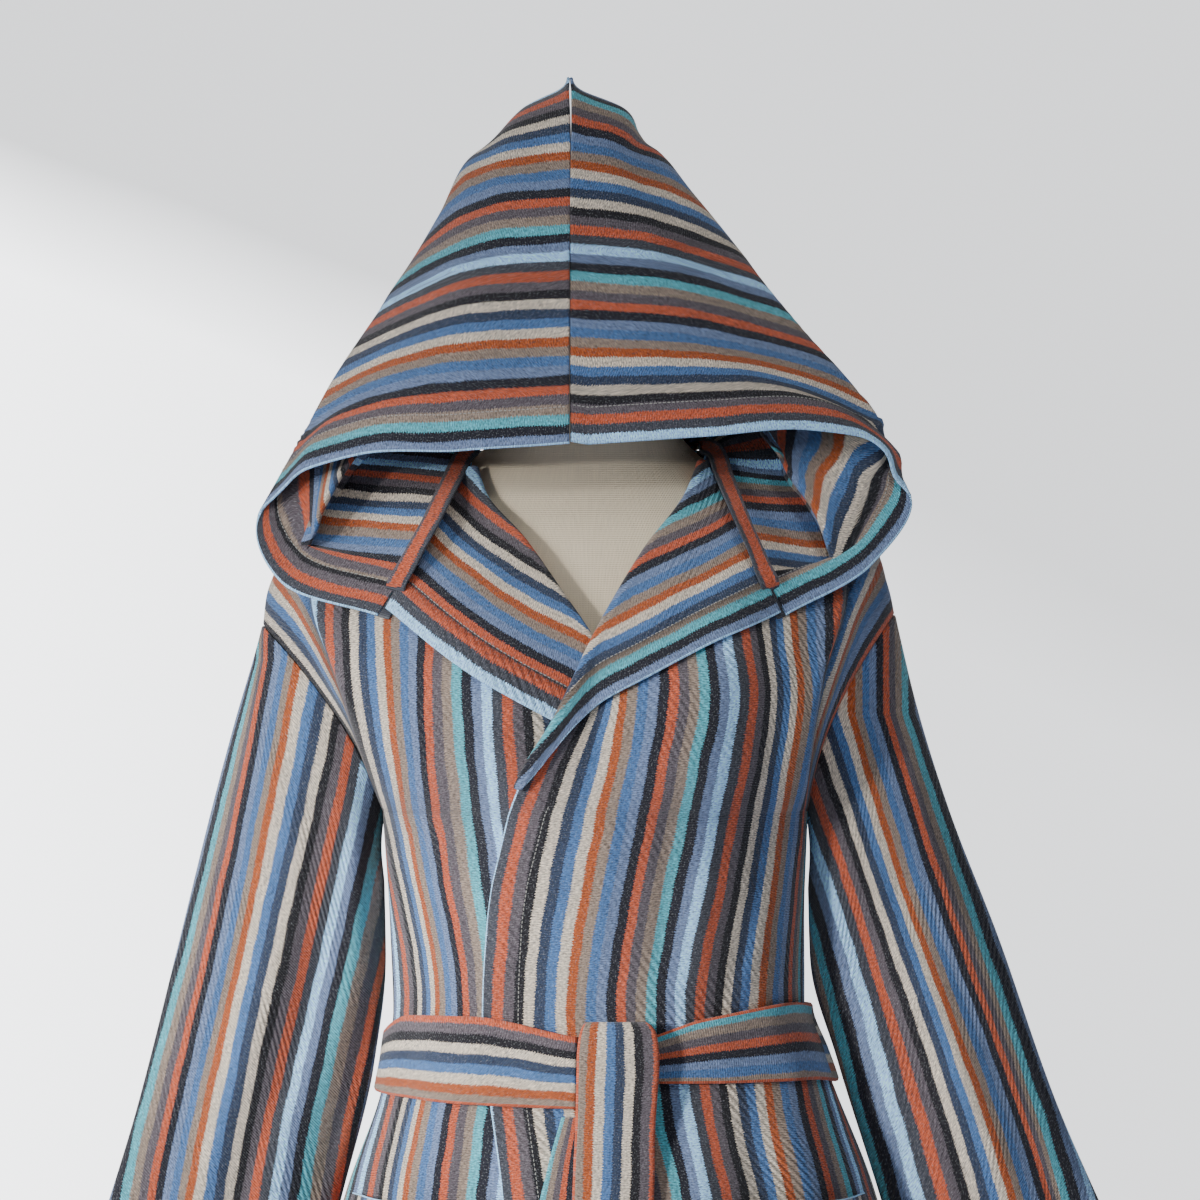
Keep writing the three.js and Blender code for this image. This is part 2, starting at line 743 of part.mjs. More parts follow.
const SLEEVE_AROUND = 20;
const SLEEVE_ROWS = 13;
const ARMHOLE_GAP = 2.6;
const ARMHOLE_LINE = { across: 100, down: 420, share: 0.6 };
function sleeveGrid(side) {
  const rows = side === "left" ? SLEEVE_LEFT : SLEEVE_RIGHT;
  const sign = side === "left" ? -1 : 1;
  return range(SLEEVE_ROWS).map((i) => {
    const s = i / (SLEEVE_ROWS - 1);
    const start = smooth(0.16, 0, s);
    return range(SLEEVE_AROUND).map((j) => {
      const turn = j / SLEEVE_AROUND;
      const angle = turn * 2 * Math.PI;
      const along = (1 - Math.cos(angle)) / 2;
      const x = mix(read(rows, "s", s, "innerX"), read(rows, "s", s, "outerX"), along);
      const z = mix(read(rows, "s", s, "innerZ"), read(rows, "s", s, "outerZ"), along);
      const wave = SLEEVE_WAVE * Math.sin(3 * angle + 4 * s) * smooth(0.1, 0.5, s);
      const back = SLEEVE_BACK * smooth(0, 0.6, s);
      const y = back - Math.sin(angle) * (read(rows, "s", s, "depth") + wave);
      const plain = point(sign * x, y, z);
      const seam = armhole(side, turn, ARMHOLE_GAP);
      if (s === 0) return seam;
      seam.x += sign * s * ARMHOLE_LINE.across;
      seam.z -= s * ARMHOLE_LINE.down;
      return plain.lerp(seam, start * ARMHOLE_LINE.share);
    });
  });
}

// One hood half as rows from the front edge to the back seam.
const HOOD_STEPS = 16;
const HOOD_COLUMNS = 13;
function hoodGrid(side) {
  const sign = side === "left" ? -1 : 1;
  const rise = side === "right" ? HOOD_RIGHT_RISE : 0;
  const lines = ["neck", "crease", "side", "middle", "top"].map((name) =>
    curveThrough(
      HOOD[name].map((row, k) => {
        const lift = name === "side" || name === "crease" ? rise * (1 - k / (HOOD_ROWS - 1)) : 0;
        return point(HOOD_SEAM_X * seamShare(name, k) + sign * row[side], row.y, row.z + lift);
      }),
    ),
  );
  return range(HOOD_STEPS).map((i) => {
    const v = i / (HOOD_STEPS - 1);
    const row = curveThrough(lines.map((line) => line.getPoint(v)));
    return range(HOOD_COLUMNS).map((j) => {
      return offForm(row.getPointAt(j / (HOOD_COLUMNS - 1)), CLOTH);
    });
  });
}

// The hood's seam is a little left of the centre, while its sides are measured from the centre.
function seamShare(name, k) {
  const share = { neck: 0, crease: 0, side: 0, middle: 0.6, top: 1 }[name];
  const back = { neck: 0, crease: 0.3, side: 0.8, middle: 1, top: 1 }[name];
  return mix(share, back, smooth(2, HOOD_ROWS - 1, k));
}

// The tape lies inside the hood, over the neck seam, and steps over the lapel at each end.
function tapeGrid(leftHood, rightHood) {
  const across = [-9, -1, 6];
  const inside = 3.6;
  const overLapel = 3.2;
  const clearance = TAPE_CLOTH + 2 * FACET;
  const inFront = point(0, -300, 1560);
  const strip = (grid) => {
    const normals = normalsOf(grid, false);
    return grid.map((row, i) => {
      const normal = normals[i][0].clone();
      if (normal.dot(inFront.clone().sub(row[0])) < 0) normal.negate();
      const away = row[1].clone().sub(row[0]).normalize();
      const out = inside + overLapel * smooth(0.34, 0.22, i / (HOOD_STEPS - 1));
      const middle = row[0].clone().addScaledVector(normal, out);
      return across.map((t) => offForm(middle.clone().addScaledVector(away, t), clearance));
    });
  };
  const left = strip(leftHood);
  const right = strip(rightHood).reverse();
  return left.slice(0, -1).concat(right.slice(1));
}

const BAND_ROWS = 57;
const BAND_COLUMNS = 4;
const BAND_SLACK = 2.4;
function bandGrid() {
  const first = BAND[0].around;
  const last = BAND[BAND.length - 1].around;
  const out = CLOTH / 2 + BELT_CLOTH / 2 + SEAM + BAND_SLACK;
  return range(BAND_ROWS).map((i) => {
    const around = mix(first, last, i / (BAND_ROWS - 1));
    const bottom = read(BAND, "around", around, "bottom");
    const top = read(BAND, "around", around, "top");
    const place = around % 1;
    return range(BAND_COLUMNS).map((j) => {
      const z = mix(bottom, top, j / (BAND_COLUMNS - 1));
      const p = bodyPoint(place, z, out);
      const front = place < 0.5 && p.y < 0 ? overlapLift("over", p) : 0;
      p.y -= front;
      return p;
    });
  });
}

// A belt end as rows across it, from the knot down. An ease above 1 sets rows closer at the knot.
const TAIL_COLUMNS = 5;
function tailGrid(rows, steps, ease) {
  return range(steps).map((i) => {
    const s = (i / (steps - 1)) ** ease;
    const z = read(rows, "s", s, "z");
    const centre = read(rows, "s", s, "x");
    const width = read(rows, "s", s, "width");
    const lift = read(rows, "s", s, "lift");
    return range(TAIL_COLUMNS).map((j) => {
      const x = centre + width * (j / (TAIL_COLUMNS - 1) - 0.5);
      const p = bodyPoint(aroundOf(z, x), z);
      p.y -= overlapLift("over", p) + lift + CLOTH / 2;
      return p;
    });
  });
}

const POCKET_GAP = 1.02;
function pocketGrid(pocket) {
  const columns = 9;
  const rows = 8;
  return range(rows).map((i) => {
    const down = i / (rows - 1);
    return range(columns).map((j) => {
      const across = j / (columns - 1);
      const z = pocket.top - pocket.height * down;
      const open = pocket.gape * Math.sin(Math.PI * across) ** 2 * (1 - down) ** 1.5;
      const p = bodyPoint(mix(pocket.from, pocket.to, across), z, CLOTH + POCKET_GAP + open);
      p.y -= pocket.side === "right" ? overlapLift("over", p) : 0;
      return p;
    });
  });
}

// The dress form's body, a closed loft through its sections, with its rings closer at the shoulders.
const FORM_AROUND = 26;
const FORM_RINGS = 24;
const SHOULDER_RINGS = 0.068;
function makeTorso() {
  const levels = range(FORM_RINGS).map((i) => {
    const t = i / (FORM_RINGS - 1);
    const closer = SHOULDER_RINGS * Math.sin(Math.PI * 2 * (t - 0.02)) * t;
    return mix(TORSO_FLOOR, FORM_TOP, clamp01(t - closer));
  });
  const points = [];
  for (const z of levels) {
    const half = read(FORM, "z", z, "half");
    for (const j of range(FORM_AROUND)) {
      const angle = (j / FORM_AROUND) * 2 * Math.PI;
      const c = Math.cos(angle);
      const s = Math.sin(angle);
      const depth = read(FORM, "z", z, s > 0 ? "front" : "back");
      const x = half * Math.sign(c) * Math.abs(c) ** (2 / ROUNDNESS);
      points.push(point(x, -depth * Math.sign(s) * Math.abs(s) ** (2 / ROUNDNESS), z));
    }
  }
  const bottom = points.push(point(0, 0, TORSO_FLOOR)) - 1;
  const top = points.push(point(0, 0, FORM_TOP)) - 1;
  const triangles = [];
  const at = (i, j) => i * FORM_AROUND + (j % FORM_AROUND);
  for (const j of range(FORM_AROUND)) {
    for (const i of range(FORM_RINGS - 1)) {
      triangles.push([at(i, j), at(i, j + 1), at(i + 1, j + 1)]);
      triangles.push([at(i, j), at(i + 1, j + 1), at(i + 1, j)]);
    }
    triangles.push([at(0, j + 1), at(0, j), bottom]);
    triangles.push([at(FORM_RINGS - 1, j), at(FORM_RINGS - 1, j + 1), top]);
  }
  return solidFrom(points, triangles);
}

function turned(profile, segments) {
  const geometry = new THREE.LatheGeometry(profile.map(([r, z]) => new THREE.Vector2(r, z)), segments);
  geometry.rotateX(Math.PI / 2);
  return geometry;
}

function makePole() {
  return turned([
    [0, BASE_HEIGHT + SEAM],
    [POLE_RADIUS, BASE_HEIGHT + SEAM],
    [POLE_RADIUS, TORSO_FLOOR - SEAM],
    [0, TORSO_FLOOR - SEAM],
  ], 24);
}

function makeBase() {
  return turned([
    [0, 0],
    [BASE_RADIUS - 2, 0],
    [BASE_RADIUS, 3],
    [BASE_RADIUS - 3, 10],
    [BASE_RADIUS - 24, BASE_HEIGHT],
    [0, BASE_HEIGHT],
  ], 48);
}

const part = new THREE.Group();

function add(name, geometry, colour, roughness = 0.95, metalness = 0) {
  const material = new THREE.MeshStandardMaterial({ color: colour, roughness, metalness });
  const mesh = new THREE.Mesh(geometry, material);
  mesh.name = name;
  part.add(mesh);
}

const underGrid = frontGrid("under");
const overGrid = frontGrid("over", underGrid);
const hoods = { left: hoodGrid("left"), right: hoodGrid("right") };

add("front_under", makeFront("under", underGrid), COLOURS.stripe);
add("front_over", makeFront("over", overGrid), COLOURS.stripe);
add("back", wall(backGrid(), CLOTH), COLOURS.stripe);
for (const side of ["left", "right"]) {
  add(`sleeve_${side}`, wall(sleeveGrid(side), CLOTH, true), COLOURS.stripe);
  add(`hood_${side}`, wall(hoods[side], CLOTH), COLOURS.stripe);
}
add("neck_tape", wall(tapeGrid(hoods.left, hoods.right), TAPE_CLOTH), COLOURS.tape);
add("belt_band", wall(bandGrid(), BELT_CLOTH), COLOURS.belt);
add("belt_tail_over", wall(tailGrid(TAIL_OVER, 18, 1.5), BELT_CLOTH), COLOURS.belt);
add("belt_tail_under", wall(tailGrid(TAIL_UNDER, 9, 1), BELT_CLOTH), COLOURS.belt);
for (const pocket of POCKETS) {
  add(`pocket_${pocket.side}`, wall(pocketGrid(pocket), CLOTH), COLOURS.stripe);
}
add("form_torso", makeTorso(), COLOURS.linen, 0.9);
add("form_pole", makePole(), COLOURS.metal, 0.4, 0.8);
add("form_base", makeBase(), COLOURS.wood, 0.5);

export default part;
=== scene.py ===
# Looks for a hooded bathrobe of striped towelling on a limbless dress form.
# Shapes are worked out in millimetres, as the part's are, and meshes are made in metres.
# +Z is up, the front faces -Y, and "left" and "right" are the viewer's.
import math

import bpy
import numpy as np
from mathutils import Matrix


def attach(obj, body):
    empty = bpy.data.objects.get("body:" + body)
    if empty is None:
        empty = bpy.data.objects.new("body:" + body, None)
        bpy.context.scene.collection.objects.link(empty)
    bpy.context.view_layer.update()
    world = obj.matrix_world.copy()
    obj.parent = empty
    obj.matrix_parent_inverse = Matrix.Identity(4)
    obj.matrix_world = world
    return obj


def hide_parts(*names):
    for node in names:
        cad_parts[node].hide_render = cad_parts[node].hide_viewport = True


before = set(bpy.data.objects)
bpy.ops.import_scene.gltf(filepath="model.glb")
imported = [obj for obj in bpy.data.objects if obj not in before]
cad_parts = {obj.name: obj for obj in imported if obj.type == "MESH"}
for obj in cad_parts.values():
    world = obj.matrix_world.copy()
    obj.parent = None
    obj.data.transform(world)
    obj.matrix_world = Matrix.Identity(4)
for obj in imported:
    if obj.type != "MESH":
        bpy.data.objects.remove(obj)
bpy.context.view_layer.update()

MM = 0.001

# Cloth and seams
CLOTH = 2.4
BELT_CLOTH = 3.6
TAPE_CLOTH = 2.0
SEAM = 0.22
SHOULDER_SEAM = 0.5
SEAT = 0.45
FACET = 2.2
FRONT_SLACK = 1.4 * FACET
BACK_SLACK = 2.3 * FACET
LAPEL_LIFT = 5.6
OVERLAP_LIFT = 3.6
CROSSING_LIFT = 7.4
HEM_WIDTH = 27

# Robe
HEM_Z = 375
ARMPIT_Z = 1240
ROUNDNESS = 2.2

# Stand
BASE_RADIUS = 200
BASE_HEIGHT = 16
POLE_RADIUS = 15
TORSO_FLOOR = 760
FORM_TOP = 1600

# Stripes: 20 to a repeat, numbered from 0 in the weave's order.
STRIPE = 7.25


def table(columns, rows):
    """Rows of numbers as one array for each named column."""
    return dict(zip(columns.split(), np.array(rows, float).T))


FORM = table("z half front back", [
    [760, 156, 102, 98],
    [820, 168, 111, 110],
    [880, 171, 113, 114],
    [960, 150, 102, 101],
    [1060, 122, 88, 80],
    [1150, 130, 100, 84],
    [1250, 143, 119, 92],
    [1330, 160, 112, 97],
    [1400, 177, 92, 92],
    [1440, 183, 77, 82],
    [1456, 178, 71, 77],
    [1472, 153, 65, 71],
    [1488, 121, 60, 65],
    [1504, 85, 57, 59],
    [1530, 65, 55, 56],
    [1600, 57, 54, 52],
])
BODY = table("z left right front back", [
    [375, 262, 286, 156, 150],
    [640, 236, 264, 146, 140],
    [880, 198, 232, 132, 126],
    [955, 179, 213, 125, 117],
    [1029, 153, 184, 112, 104],
    [1060, 147, 172, 105, 97],
    [1091, 144, 161, 108, 98],
    [1155, 147, 161, 119, 102],
    [1240, 153, 164, 132, 106],
])
CHEST = table("z depth", [
    [1240, 132],
    [1310, 131],
    [1365, 121],
    [1403, 107],
    [1440, 88],
    [1474, 64],
    [1494, 36],
    [1509, 1],
])

# Front edge of each front, and above the crossing its roll line.
OVER_EDGE = table("z x", [
    [375, -28],
    [955, -62],
    [1092, -77],
    [1155, -74],
    [1195, -69],
    [1240, -58],
    [1275, -44],
    [1309, -23],
    [1365, 5],
    [1432, 44],
    [1474, 75],
    [1509, 88],
])
UNDER_EDGE = table("z x", [
    [375, 58],
    [955, 74],
    [1155, 80],
    [1240, 72],
    [1309, 38],
    [1365, 3],
    [1403, -23],
    [1440, -49],
    [1474, -78],
    [1509, -88],
])

# Soft vertical folds of the skirt: place round the body in turns, height at the hem and width.
FOLDS = table("around height width", [
    [0.03, 14, 0.026],
    [0.09, -10, 0.024],
    [0.145, 16, 0.028],
    [0.21, -9, 0.026],
    [0.275, 10, 0.026],
    [0.34, -11, 0.026],
    [0.40, 17, 0.028],
    [0.465, -10, 0.024],
    [0.53, 15, 0.027],
    [0.59, -12, 0.026],
    [0.65, 18, 0.028],
    [0.71, -11, 0.024],
    [0.77, 18, 0.029],
    [0.83, -12, 0.025],
    [0.885, 16, 0.027],
    [0.945, -10, 0.024],
])

DROP = {"left": (243, 1378), "right": (229, 1386)}
SIGN = {"left": -1, "right": 1}

SLEEVES = {
    "left": table("s outerX outerZ innerX innerZ depth", [
        [0.0, 243, 1378, 153, 1240, 44],
        [0.12, 259, 1324, 154, 1196, 42],
        [0.3, 281, 1243, 153, 1130, 39],
        [0.55, 309, 1130, 162, 1048, 36],
        [0.8, 339, 1012, 186, 950, 34],
        [1.0, 372, 905, 208, 868, 33],
    ]),
    "right": table("s outerX outerZ innerX innerZ depth", [
        [0.0, 229, 1386, 164, 1240, 44],
        [0.12, 245, 1320, 166, 1192, 44],
        [0.3, 270, 1240, 168, 1128, 42],
        [0.55, 308, 1142, 189, 1050, 40],
        [0.8, 350, 1022, 221, 948, 37],
        [1.0, 398, 912, 246, 862, 35],
    ]),
}
# Long folds of a sleeve: place round it in turns, start and end along it, width and height.
SLEEVE_FOLDS = table("turn start end width height", [
    [0.09, 0.10, 0.95, 0.020, -3.5],
    [0.15, 0.02, 0.80, 0.024, 4.5],
    [0.21, 0.25, 1.10, 0.020, -3.5],
    [0.27, 0.12, 1.10, 0.022, 3.5],
    [0.33, 0.35, 1.20, 0.018, -2.8],
    [0.39, 0.05, 0.70, 0.018, 2.4],
    [0.58, 0.10, 1.10, 0.024, 3.5],
    [0.66, 0.30, 1.20, 0.022, -3.5],
    [0.74, 0.05, 0.90, 0.024, 4.0],
    [0.83, 0.20, 1.10, 0.022, -3.5],
    [0.91, 0.08, 0.85, 0.020, 3.0],
])
SLEEVE_BACK = 6
SLEEVE_WAVE = 3.5

# One hood half in six rows from its front edge to its back seam, on five lines that run from
# the neck seam over the crease on the shoulder and the side to the middle and the top seam.
HOOD = {
    "neck": table("left right y z", [
        [154, 145, -112, 1386],
        [117, 113, -93, 1448],
        [92, 92, -24, 1507],
        [64, 64, 48, 1508.5],
        [24, 24, 70, 1510],
        [0.3, 0.3, 73, 1510],
    ]),
    "crease": table("left right y z", [
        [226, 208, -91, 1410],
        [212, 204, -50, 1484],
        [170, 170, 22, 1556],
        [112, 112, 98, 1592],
        [50, 50, 132, 1604],
        [0.3, 0.3, 142, 1606],
    ]),
    "side": table("left right y z", [
        [240, 235, -72, 1466],
        [189, 190, -42, 1562],
        [138, 138, -20, 1641],
        [90, 84, 4, 1712],
        [62, 60, 62, 1700],
        [0.3, 0.3, 104, 1694],
    ]),
    "middle": table("left right y z", [
        [122, 126, -112, 1503],
        [98, 98, -98, 1580],
        [76, 76, -76, 1652],
        [56, 54, -50, 1724],
        [36, 34, -8, 1756],
        [0.3, 0.3, 30, 1766],
    ]),
    "top": table("left right y z", [
        [0.3, 0.3, -125, 1511],
        [0.3, 0.3, -111, 1583],
        [0.3, 0.3, -92, 1655],
        [0.3, 0.3, -70, 1727],
        [0.3, 0.3, -54, 1766],
        [0.3, 0.3, -40, 1786],
    ]),
}
# How far the front edge of the hood rises above a plain curve, by distance from the middle.
EDGE_RISE = {
    "left": table("x z", [[0, 0], [95, -2], [171, 10], [208, 11], [229, 5], [240, 0]]),
    "right": table("x z", [[0, 0], [88, 10], [157, 24], [196, 26], [218, 21], [236, 3]]),
}
# The fold inside each hood half, by distance from the front edge: where the cloth by the neck
# ends below it, the fold's own edge, and where the side wall above it goes on up.
TUCK = {
    "left": table("d ax ay az bx by bz wx wy wz", [
        [44, 204, -76, 1434, 206, -80, 1437, 210, -64, 1491],
        [61, 200, -66, 1443, 201, -88, 1448, 203, -64, 1493],
        [76, 199, -58, 1457, 197, -88, 1462, 197, -62, 1496],
        [98, 190, -50, 1471, 188, -84, 1481, 188, -62, 1504],
        [127, 177, -44, 1492, 178, -80, 1497, 172, -62, 1520],
        [170, 160, -38, 1512, 160, -70, 1520, 154, -56, 1545],
    ]),
    "right": table("d ax ay az bx by bz wx wy wz", [
        [33, 181, -88, 1410, 184, -90, 1413, 213, -66, 1510],
        [51, 179, -72, 1424, 177, -90, 1434, 197, -64, 1513],
        [69, 176, -62, 1439, 168, -88, 1461, 180, -62, 1515],
        [105, 160, -50, 1471, 145, -82, 1492, 143, -64, 1517],
        [127, 150, -44, 1483, 135, -78, 1505, 129, -62, 1532],
        [170, 136, -38, 1508, 122, -70, 1522, 118, -54, 1550],
    ]),
}
# How much wider the hood stands than a plain curve, by height.
WIDENING = {
    "left": table("z x", [
        [1380, 0], [1500, -3], [1600, -3], [1683, -2], [1731, 7], [1770, 9], [1790, 0],
    ]),
    "right": table("z x", [
        [1380, 0], [1485, 0], [1509, 8], [1535, -2], [1567, -9], [1599, -15],
        [1635, -18], [1699, -19], [1727, -15], [1745, 0], [1763, 12], [1790, 0],
    ]),
}
TUCK_COLUMNS = (0.24, 0.32)
CREASE_SHARE = (0.165, 0.205)
HOOK = 9
HOOD_SEAM_X = -13
HOOD_RIGHT_RISE = 12
SEAM_SHARE = {
    "neck": (0, 0),
    "crease": (0, 0.3),
    "side": (0, 0.8),
    "middle": (0.6, 1),
    "top": (1, 1),
}

# Each lapel's roll line and hem, from the neck (0) to its lower end (1).
LAPELS = {
    "over": {
        "roll": table("t z", [[0, 1496], [0.6, 1376], [0.8, 1326], [1, 1262]]),
        "hem": table("t x z", [
            [0, 139, 1386], [0.25, 100, 1368], [0.5, 52, 1343], [0.75, 0, 1314], [1, -46, 1264],
        ]),
    },
    "under": {
        "roll": table("t z", [[0, 1492], [1, 1356]]),
        "hem": table("t x z", [[0, -146, 1389], [0.5, -79, 1338], [1, -14, 1302]]),
    },
}

BAND = table("around bottom top", [
    [0.289, 1044, 1078],
    [0.33, 1043, 1090],
    [0.42, 1042, 1099],
    [0.5, 1036, 1094],
    [0.62, 1032, 1092],
    [0.76, 1030, 1092],
    [0.9, 1030, 1090],
    [1.0, 1031, 1074],
    [1.08, 1030, 1090],
    [1.16, 1028, 1092],
    [1.244, 1026, 1078],
])
TAIL_OVER = table("s z x width lift", [
    [0.0, 1060, 21, 38, 3.2],
    [0.04, 1080, 21, 40, 5],
    [0.07, 1088, 21, 46, 12],
    [0.11, 1081, 22, 56, 18],
    [0.17, 1061, 22, 60, 20],
    [0.24, 1036, 21, 59, 17],
    [0.31, 1014, 20, 58, 12],
    [0.40, 980, 19, 59, 7.2],
    [0.7, 800, 12, 60, 7.2],
    [1.0, 640, 8, 61, 7.2],
])
TAIL_UNDER = table("s z x width lift", [
    [0.0, 1020, -6, 26, 2.7],
    [0.1, 985, -12, 34, 2.7],
    [0.25, 930, -16, 50, 2.7],
    [0.5, 820, -22, 58, 2.7],
    [1.0, 600, -28, 60, 2.7],
])
POCKETS = {
    "left": {"from": 0.05, "to": 0.185},
    "right": {"from": 0.45, "to": 0.315},
}
POCKET_TOP = 957
POCKET_HEIGHT = 168
POCKET_GAPE = 14
POCKET_GAP = 1.02

# Where numbered stripes lie across the fronts and sleeves: height, then the place of each one.
LANES_OVER = {
    "numbers": (0.95, 9.5, 17.5, 22.5, 29.5),
    "rows": [
        [375, -28, 49, 113, 153, 209],
        [956, -62, 7, 66, 102, 149],
        [1028, -70, -6, 50, 87, 133],
        [1095, -77, -12, 46, 82, 128],
        [1190, -70, 0, 59, 98, 137],
        [1240, -58, 10, 70, 107, 144],
        [1275, -44, 18, 76, 114, 149],
        [1330, -13, 26, 85, 121, 155],
        [1378, -10, 28, 80, 114, 150],
        [1509, 20, 40, 76, 108, 150],
    ],
}
LANES_UNDER = {
    "numbers": (2.5, 9.5, 14.5, 17.5, 22.5),
    "rows": [
        [375, -229, -178, -141, -119, -82],
        [956, -160, -134, -106, -85, -46],
        [1100, -133, -110, -89, -72, -34],
        [1240, -160, -134, -111, -87, -52],
        [1337, -187, -144, -116, -95, -58],
        [1380, -189, -146, -113, -93, -58],
        [1509, -190, -146, -110, -90, -54],
    ],
}
LANES_LEFT = {
    "numbers": (18.9, 14.5, 9.5, 5.5, 2.5, -2.5, -5.5),
    "rows": [
        [868, -369, -340, -310, -281, -259, -222, -199],
        [960, -354, -325, -296, -267, -248, -212, -188],
        [1155, -301, -280, -255, -228, -206, -171, -148],
        [1275, -270, -255, -231, -200, -180, -146, -124],
        [1352, -249, -241, -216, -186, -166, -130, -108],
    ],
}
LANES_RIGHT = {
    "numbers": (19.4, 17.5, 14.5, 9.5, 5.5, 2.5, -2.5),
    "rows": [
        [868, 391, 378, 366, 338, 309, 287, 250],
        [972, 365, 349, 338, 310, 284, 260, 215],
        [1198, 287, 274, 259, 230, 208, 190, 155],
        [1312, 246, 236, 222, 196, 170, 148, 112],
    ],
}


# Numbers and curves


def mix(a, b, t):
    return a + (b - a) * t


def smooth(start, end, at):
    t = np.clip((at - start) / (end - start), 0, 1)
    return t * t * (3 - 2 * t)


def bump(at, centre, width):
    return np.exp(-(((at - centre) / width) ** 2))


def monotone(xs, ys, at):
    """A monotone cubic through points."""
    step = np.diff(xs)
    slope = np.diff(ys) / step
    total = slope[:-1] + slope[1:]
    agree = slope[:-1] * slope[1:] > 0
    inner = np.where(agree, 2 * slope[:-1] * slope[1:] / np.where(agree, total, 1), 0)
    tangent = np.concatenate([slope[:1], inner, slope[-1:]])
    k = np.clip(np.searchsorted(xs, at, side="right") - 1, 0, len(xs) - 2)
    t = np.clip((at - xs[k]) / step[k], 0, 1)
    pull = t * (1 - t) ** 2 * tangent[k] - t * t * (1 - t) * tangent[k + 1]
    return ys[k] + (ys[k + 1] - ys[k]) * t * t * (3 - 2 * t) + step[k] * pull


def read(rows, key, at, column):
    return monotone(rows[key], rows[column], np.asarray(at, float))


def vec(x, y, z):
    return np.stack(np.broadcast_arrays(x, y, z), -1).astype(float)


def unit(v):
    return v / np.maximum(np.linalg.norm(v, axis=-1, keepdims=True), 1e-12)


def spline(points, at):
    """A Catmull-Rom curve through points, at shares of its spans from 0 to 1."""
    p = np.asarray(points, float)
    padded = np.concatenate([[2 * p[0] - p[1]], p, [2 * p[-1] - p[-2]]])
    place = np.clip(np.asarray(at, float), 0, 1) * (len(p) - 1)
    k = np.minimum(place.astype(int), len(p) - 2)
    t = (place - k)[..., None]
    a, b, c, d = (padded[k + n] for n in range(4))
    start, end = (c - a) / 2, (d - b) / 2
    cube = 2 * b - 2 * c + start + end
    square = -3 * b + 3 * c - 2 * start - end
    return b + t * (start + t * (square + t * cube))


def even(points, at, samples=240):
    """The same curve, at shares of its length."""
    shares = np.linspace(0, 1, samples)
    line = spline(points, shares)
    length = np.concatenate([[0], np.cumsum(np.linalg.norm(np.diff(line, axis=0), axis=1))])
    return spline(points, np.interp(np.asarray(at, float) * length[-1], length, shares))


def arc_lengths(grid, axis):
    """Distance along the grid's lines from their start."""
    steps = np.linalg.norm(np.diff(grid, axis=axis), axis=-1)
    start = np.zeros_like(np.take(steps, [0], axis=axis))
    return np.concatenate([start, np.cumsum(steps, axis=axis)], axis=axis)


# The dress form and the robe's body


def form_value(p):
    z = np.clip(p[..., 2], TORSO_FLOOR, FORM_TOP)
    front = read(FORM, "z", z, "front")
    depth = np.where(p[..., 1] < 0, front, read(FORM, "z", z, "back"))
    across = np.abs(p[..., 0] / read(FORM, "z", z, "half")) ** ROUNDNESS
    return (across + np.abs(p[..., 1] / depth) ** ROUNDNESS) ** (1 / ROUNDNESS) - 1


def off_form(p, clearance):
    """Points moved out until they clear the dress form."""
    p = p.copy()
    beside = p[..., 2] <= FORM_TOP + clearance
    for _ in range(4):
        level = p.copy()
        level[..., 2] = np.clip(p[..., 2], TORSO_FLOOR, FORM_TOP)
        steps = [form_value(level + d) - form_value(level - d) for d in np.eye(3) * 0.5]
        slope = np.stack(steps, -1)
        steep = np.linalg.norm(slope, axis=-1)
        short = clearance - form_value(p) / steep
        push = np.where(beside & (short > 0), short, 0)
        p += slope / steep[..., None] * push[..., None]
    return p


def fold_height(around, z):
    growth = 0.12 * smooth(1200, 1110, z) + 0.88 * smooth(1020, HEM_Z, z)
    height = 0
    for centre, tall, width in zip(*FOLDS.values()):
        away = np.abs(around - centre)
        height = height + tall * bump(np.minimum(away, 1 - away), 0, width)
    return height * growth


def body_point(around, z, out=0):
    around, z = np.broadcast_arrays(np.asarray(around, float), np.asarray(z, float))
    c = np.cos(around * 2 * math.pi)
    s = np.sin(around * 2 * math.pi)
    half = np.where(c > 0, read(BODY, "z", z, "left"), read(BODY, "z", z, "right"))
    depth = np.where(s > 0, read(BODY, "z", z, "front"), read(BODY, "z", z, "back"))
    x = -half * np.sign(c) * np.abs(c) ** (2 / ROUNDNESS)
    y = -depth * np.sign(s) * np.abs(s) ** (2 / ROUNDNESS)
    away = unit(vec(x / half**2, y / depth**2, 0))
    return vec(x, y, z) + away * (fold_height(around, z) + out)[..., None]


def around_of(z, x):
    """Place round the body of a point on the front at x."""
    half = np.where(x < 0, read(BODY, "z", z, "left"), read(BODY, "z", z, "right"))
    c = -np.sign(x) * np.abs(x / half) ** (ROUNDNESS / 2)
    return np.arccos(np.clip(c, -1, 1)) / (2 * math.pi)


ARMHOLE_DEPTH = 44
ARMHOLE_CURVE = 13
ARMHOLE_GAP = 0.7


def armhole(side, turn, outward=0):
    """The armhole's oval: turn 0 at the armpit, 0.25 in front, 0.5 at the shoulder."""
    sign = SIGN[side]
    armpit = vec(sign * read(BODY, "z", ARMPIT_Z, side), 0, ARMPIT_Z)
    shoulder = vec(sign * DROP[side][0], 0, DROP[side][1])
    angle = np.asarray(turn, float) * 2 * math.pi
    p = mix(armpit, shoulder, ((1 - np.cos(angle)) / 2)[..., None])
    p[..., 1] = -np.sin(angle) * ARMHOLE_DEPTH
    p[..., 0] -= sign * ARMHOLE_CURVE * np.sin(angle) ** 2
    out = unit(vec(shoulder[2] - armpit[2], 0, armpit[0] - shoulder[0]))
    return p + out * (outward * np.sign(out[0]) * sign)


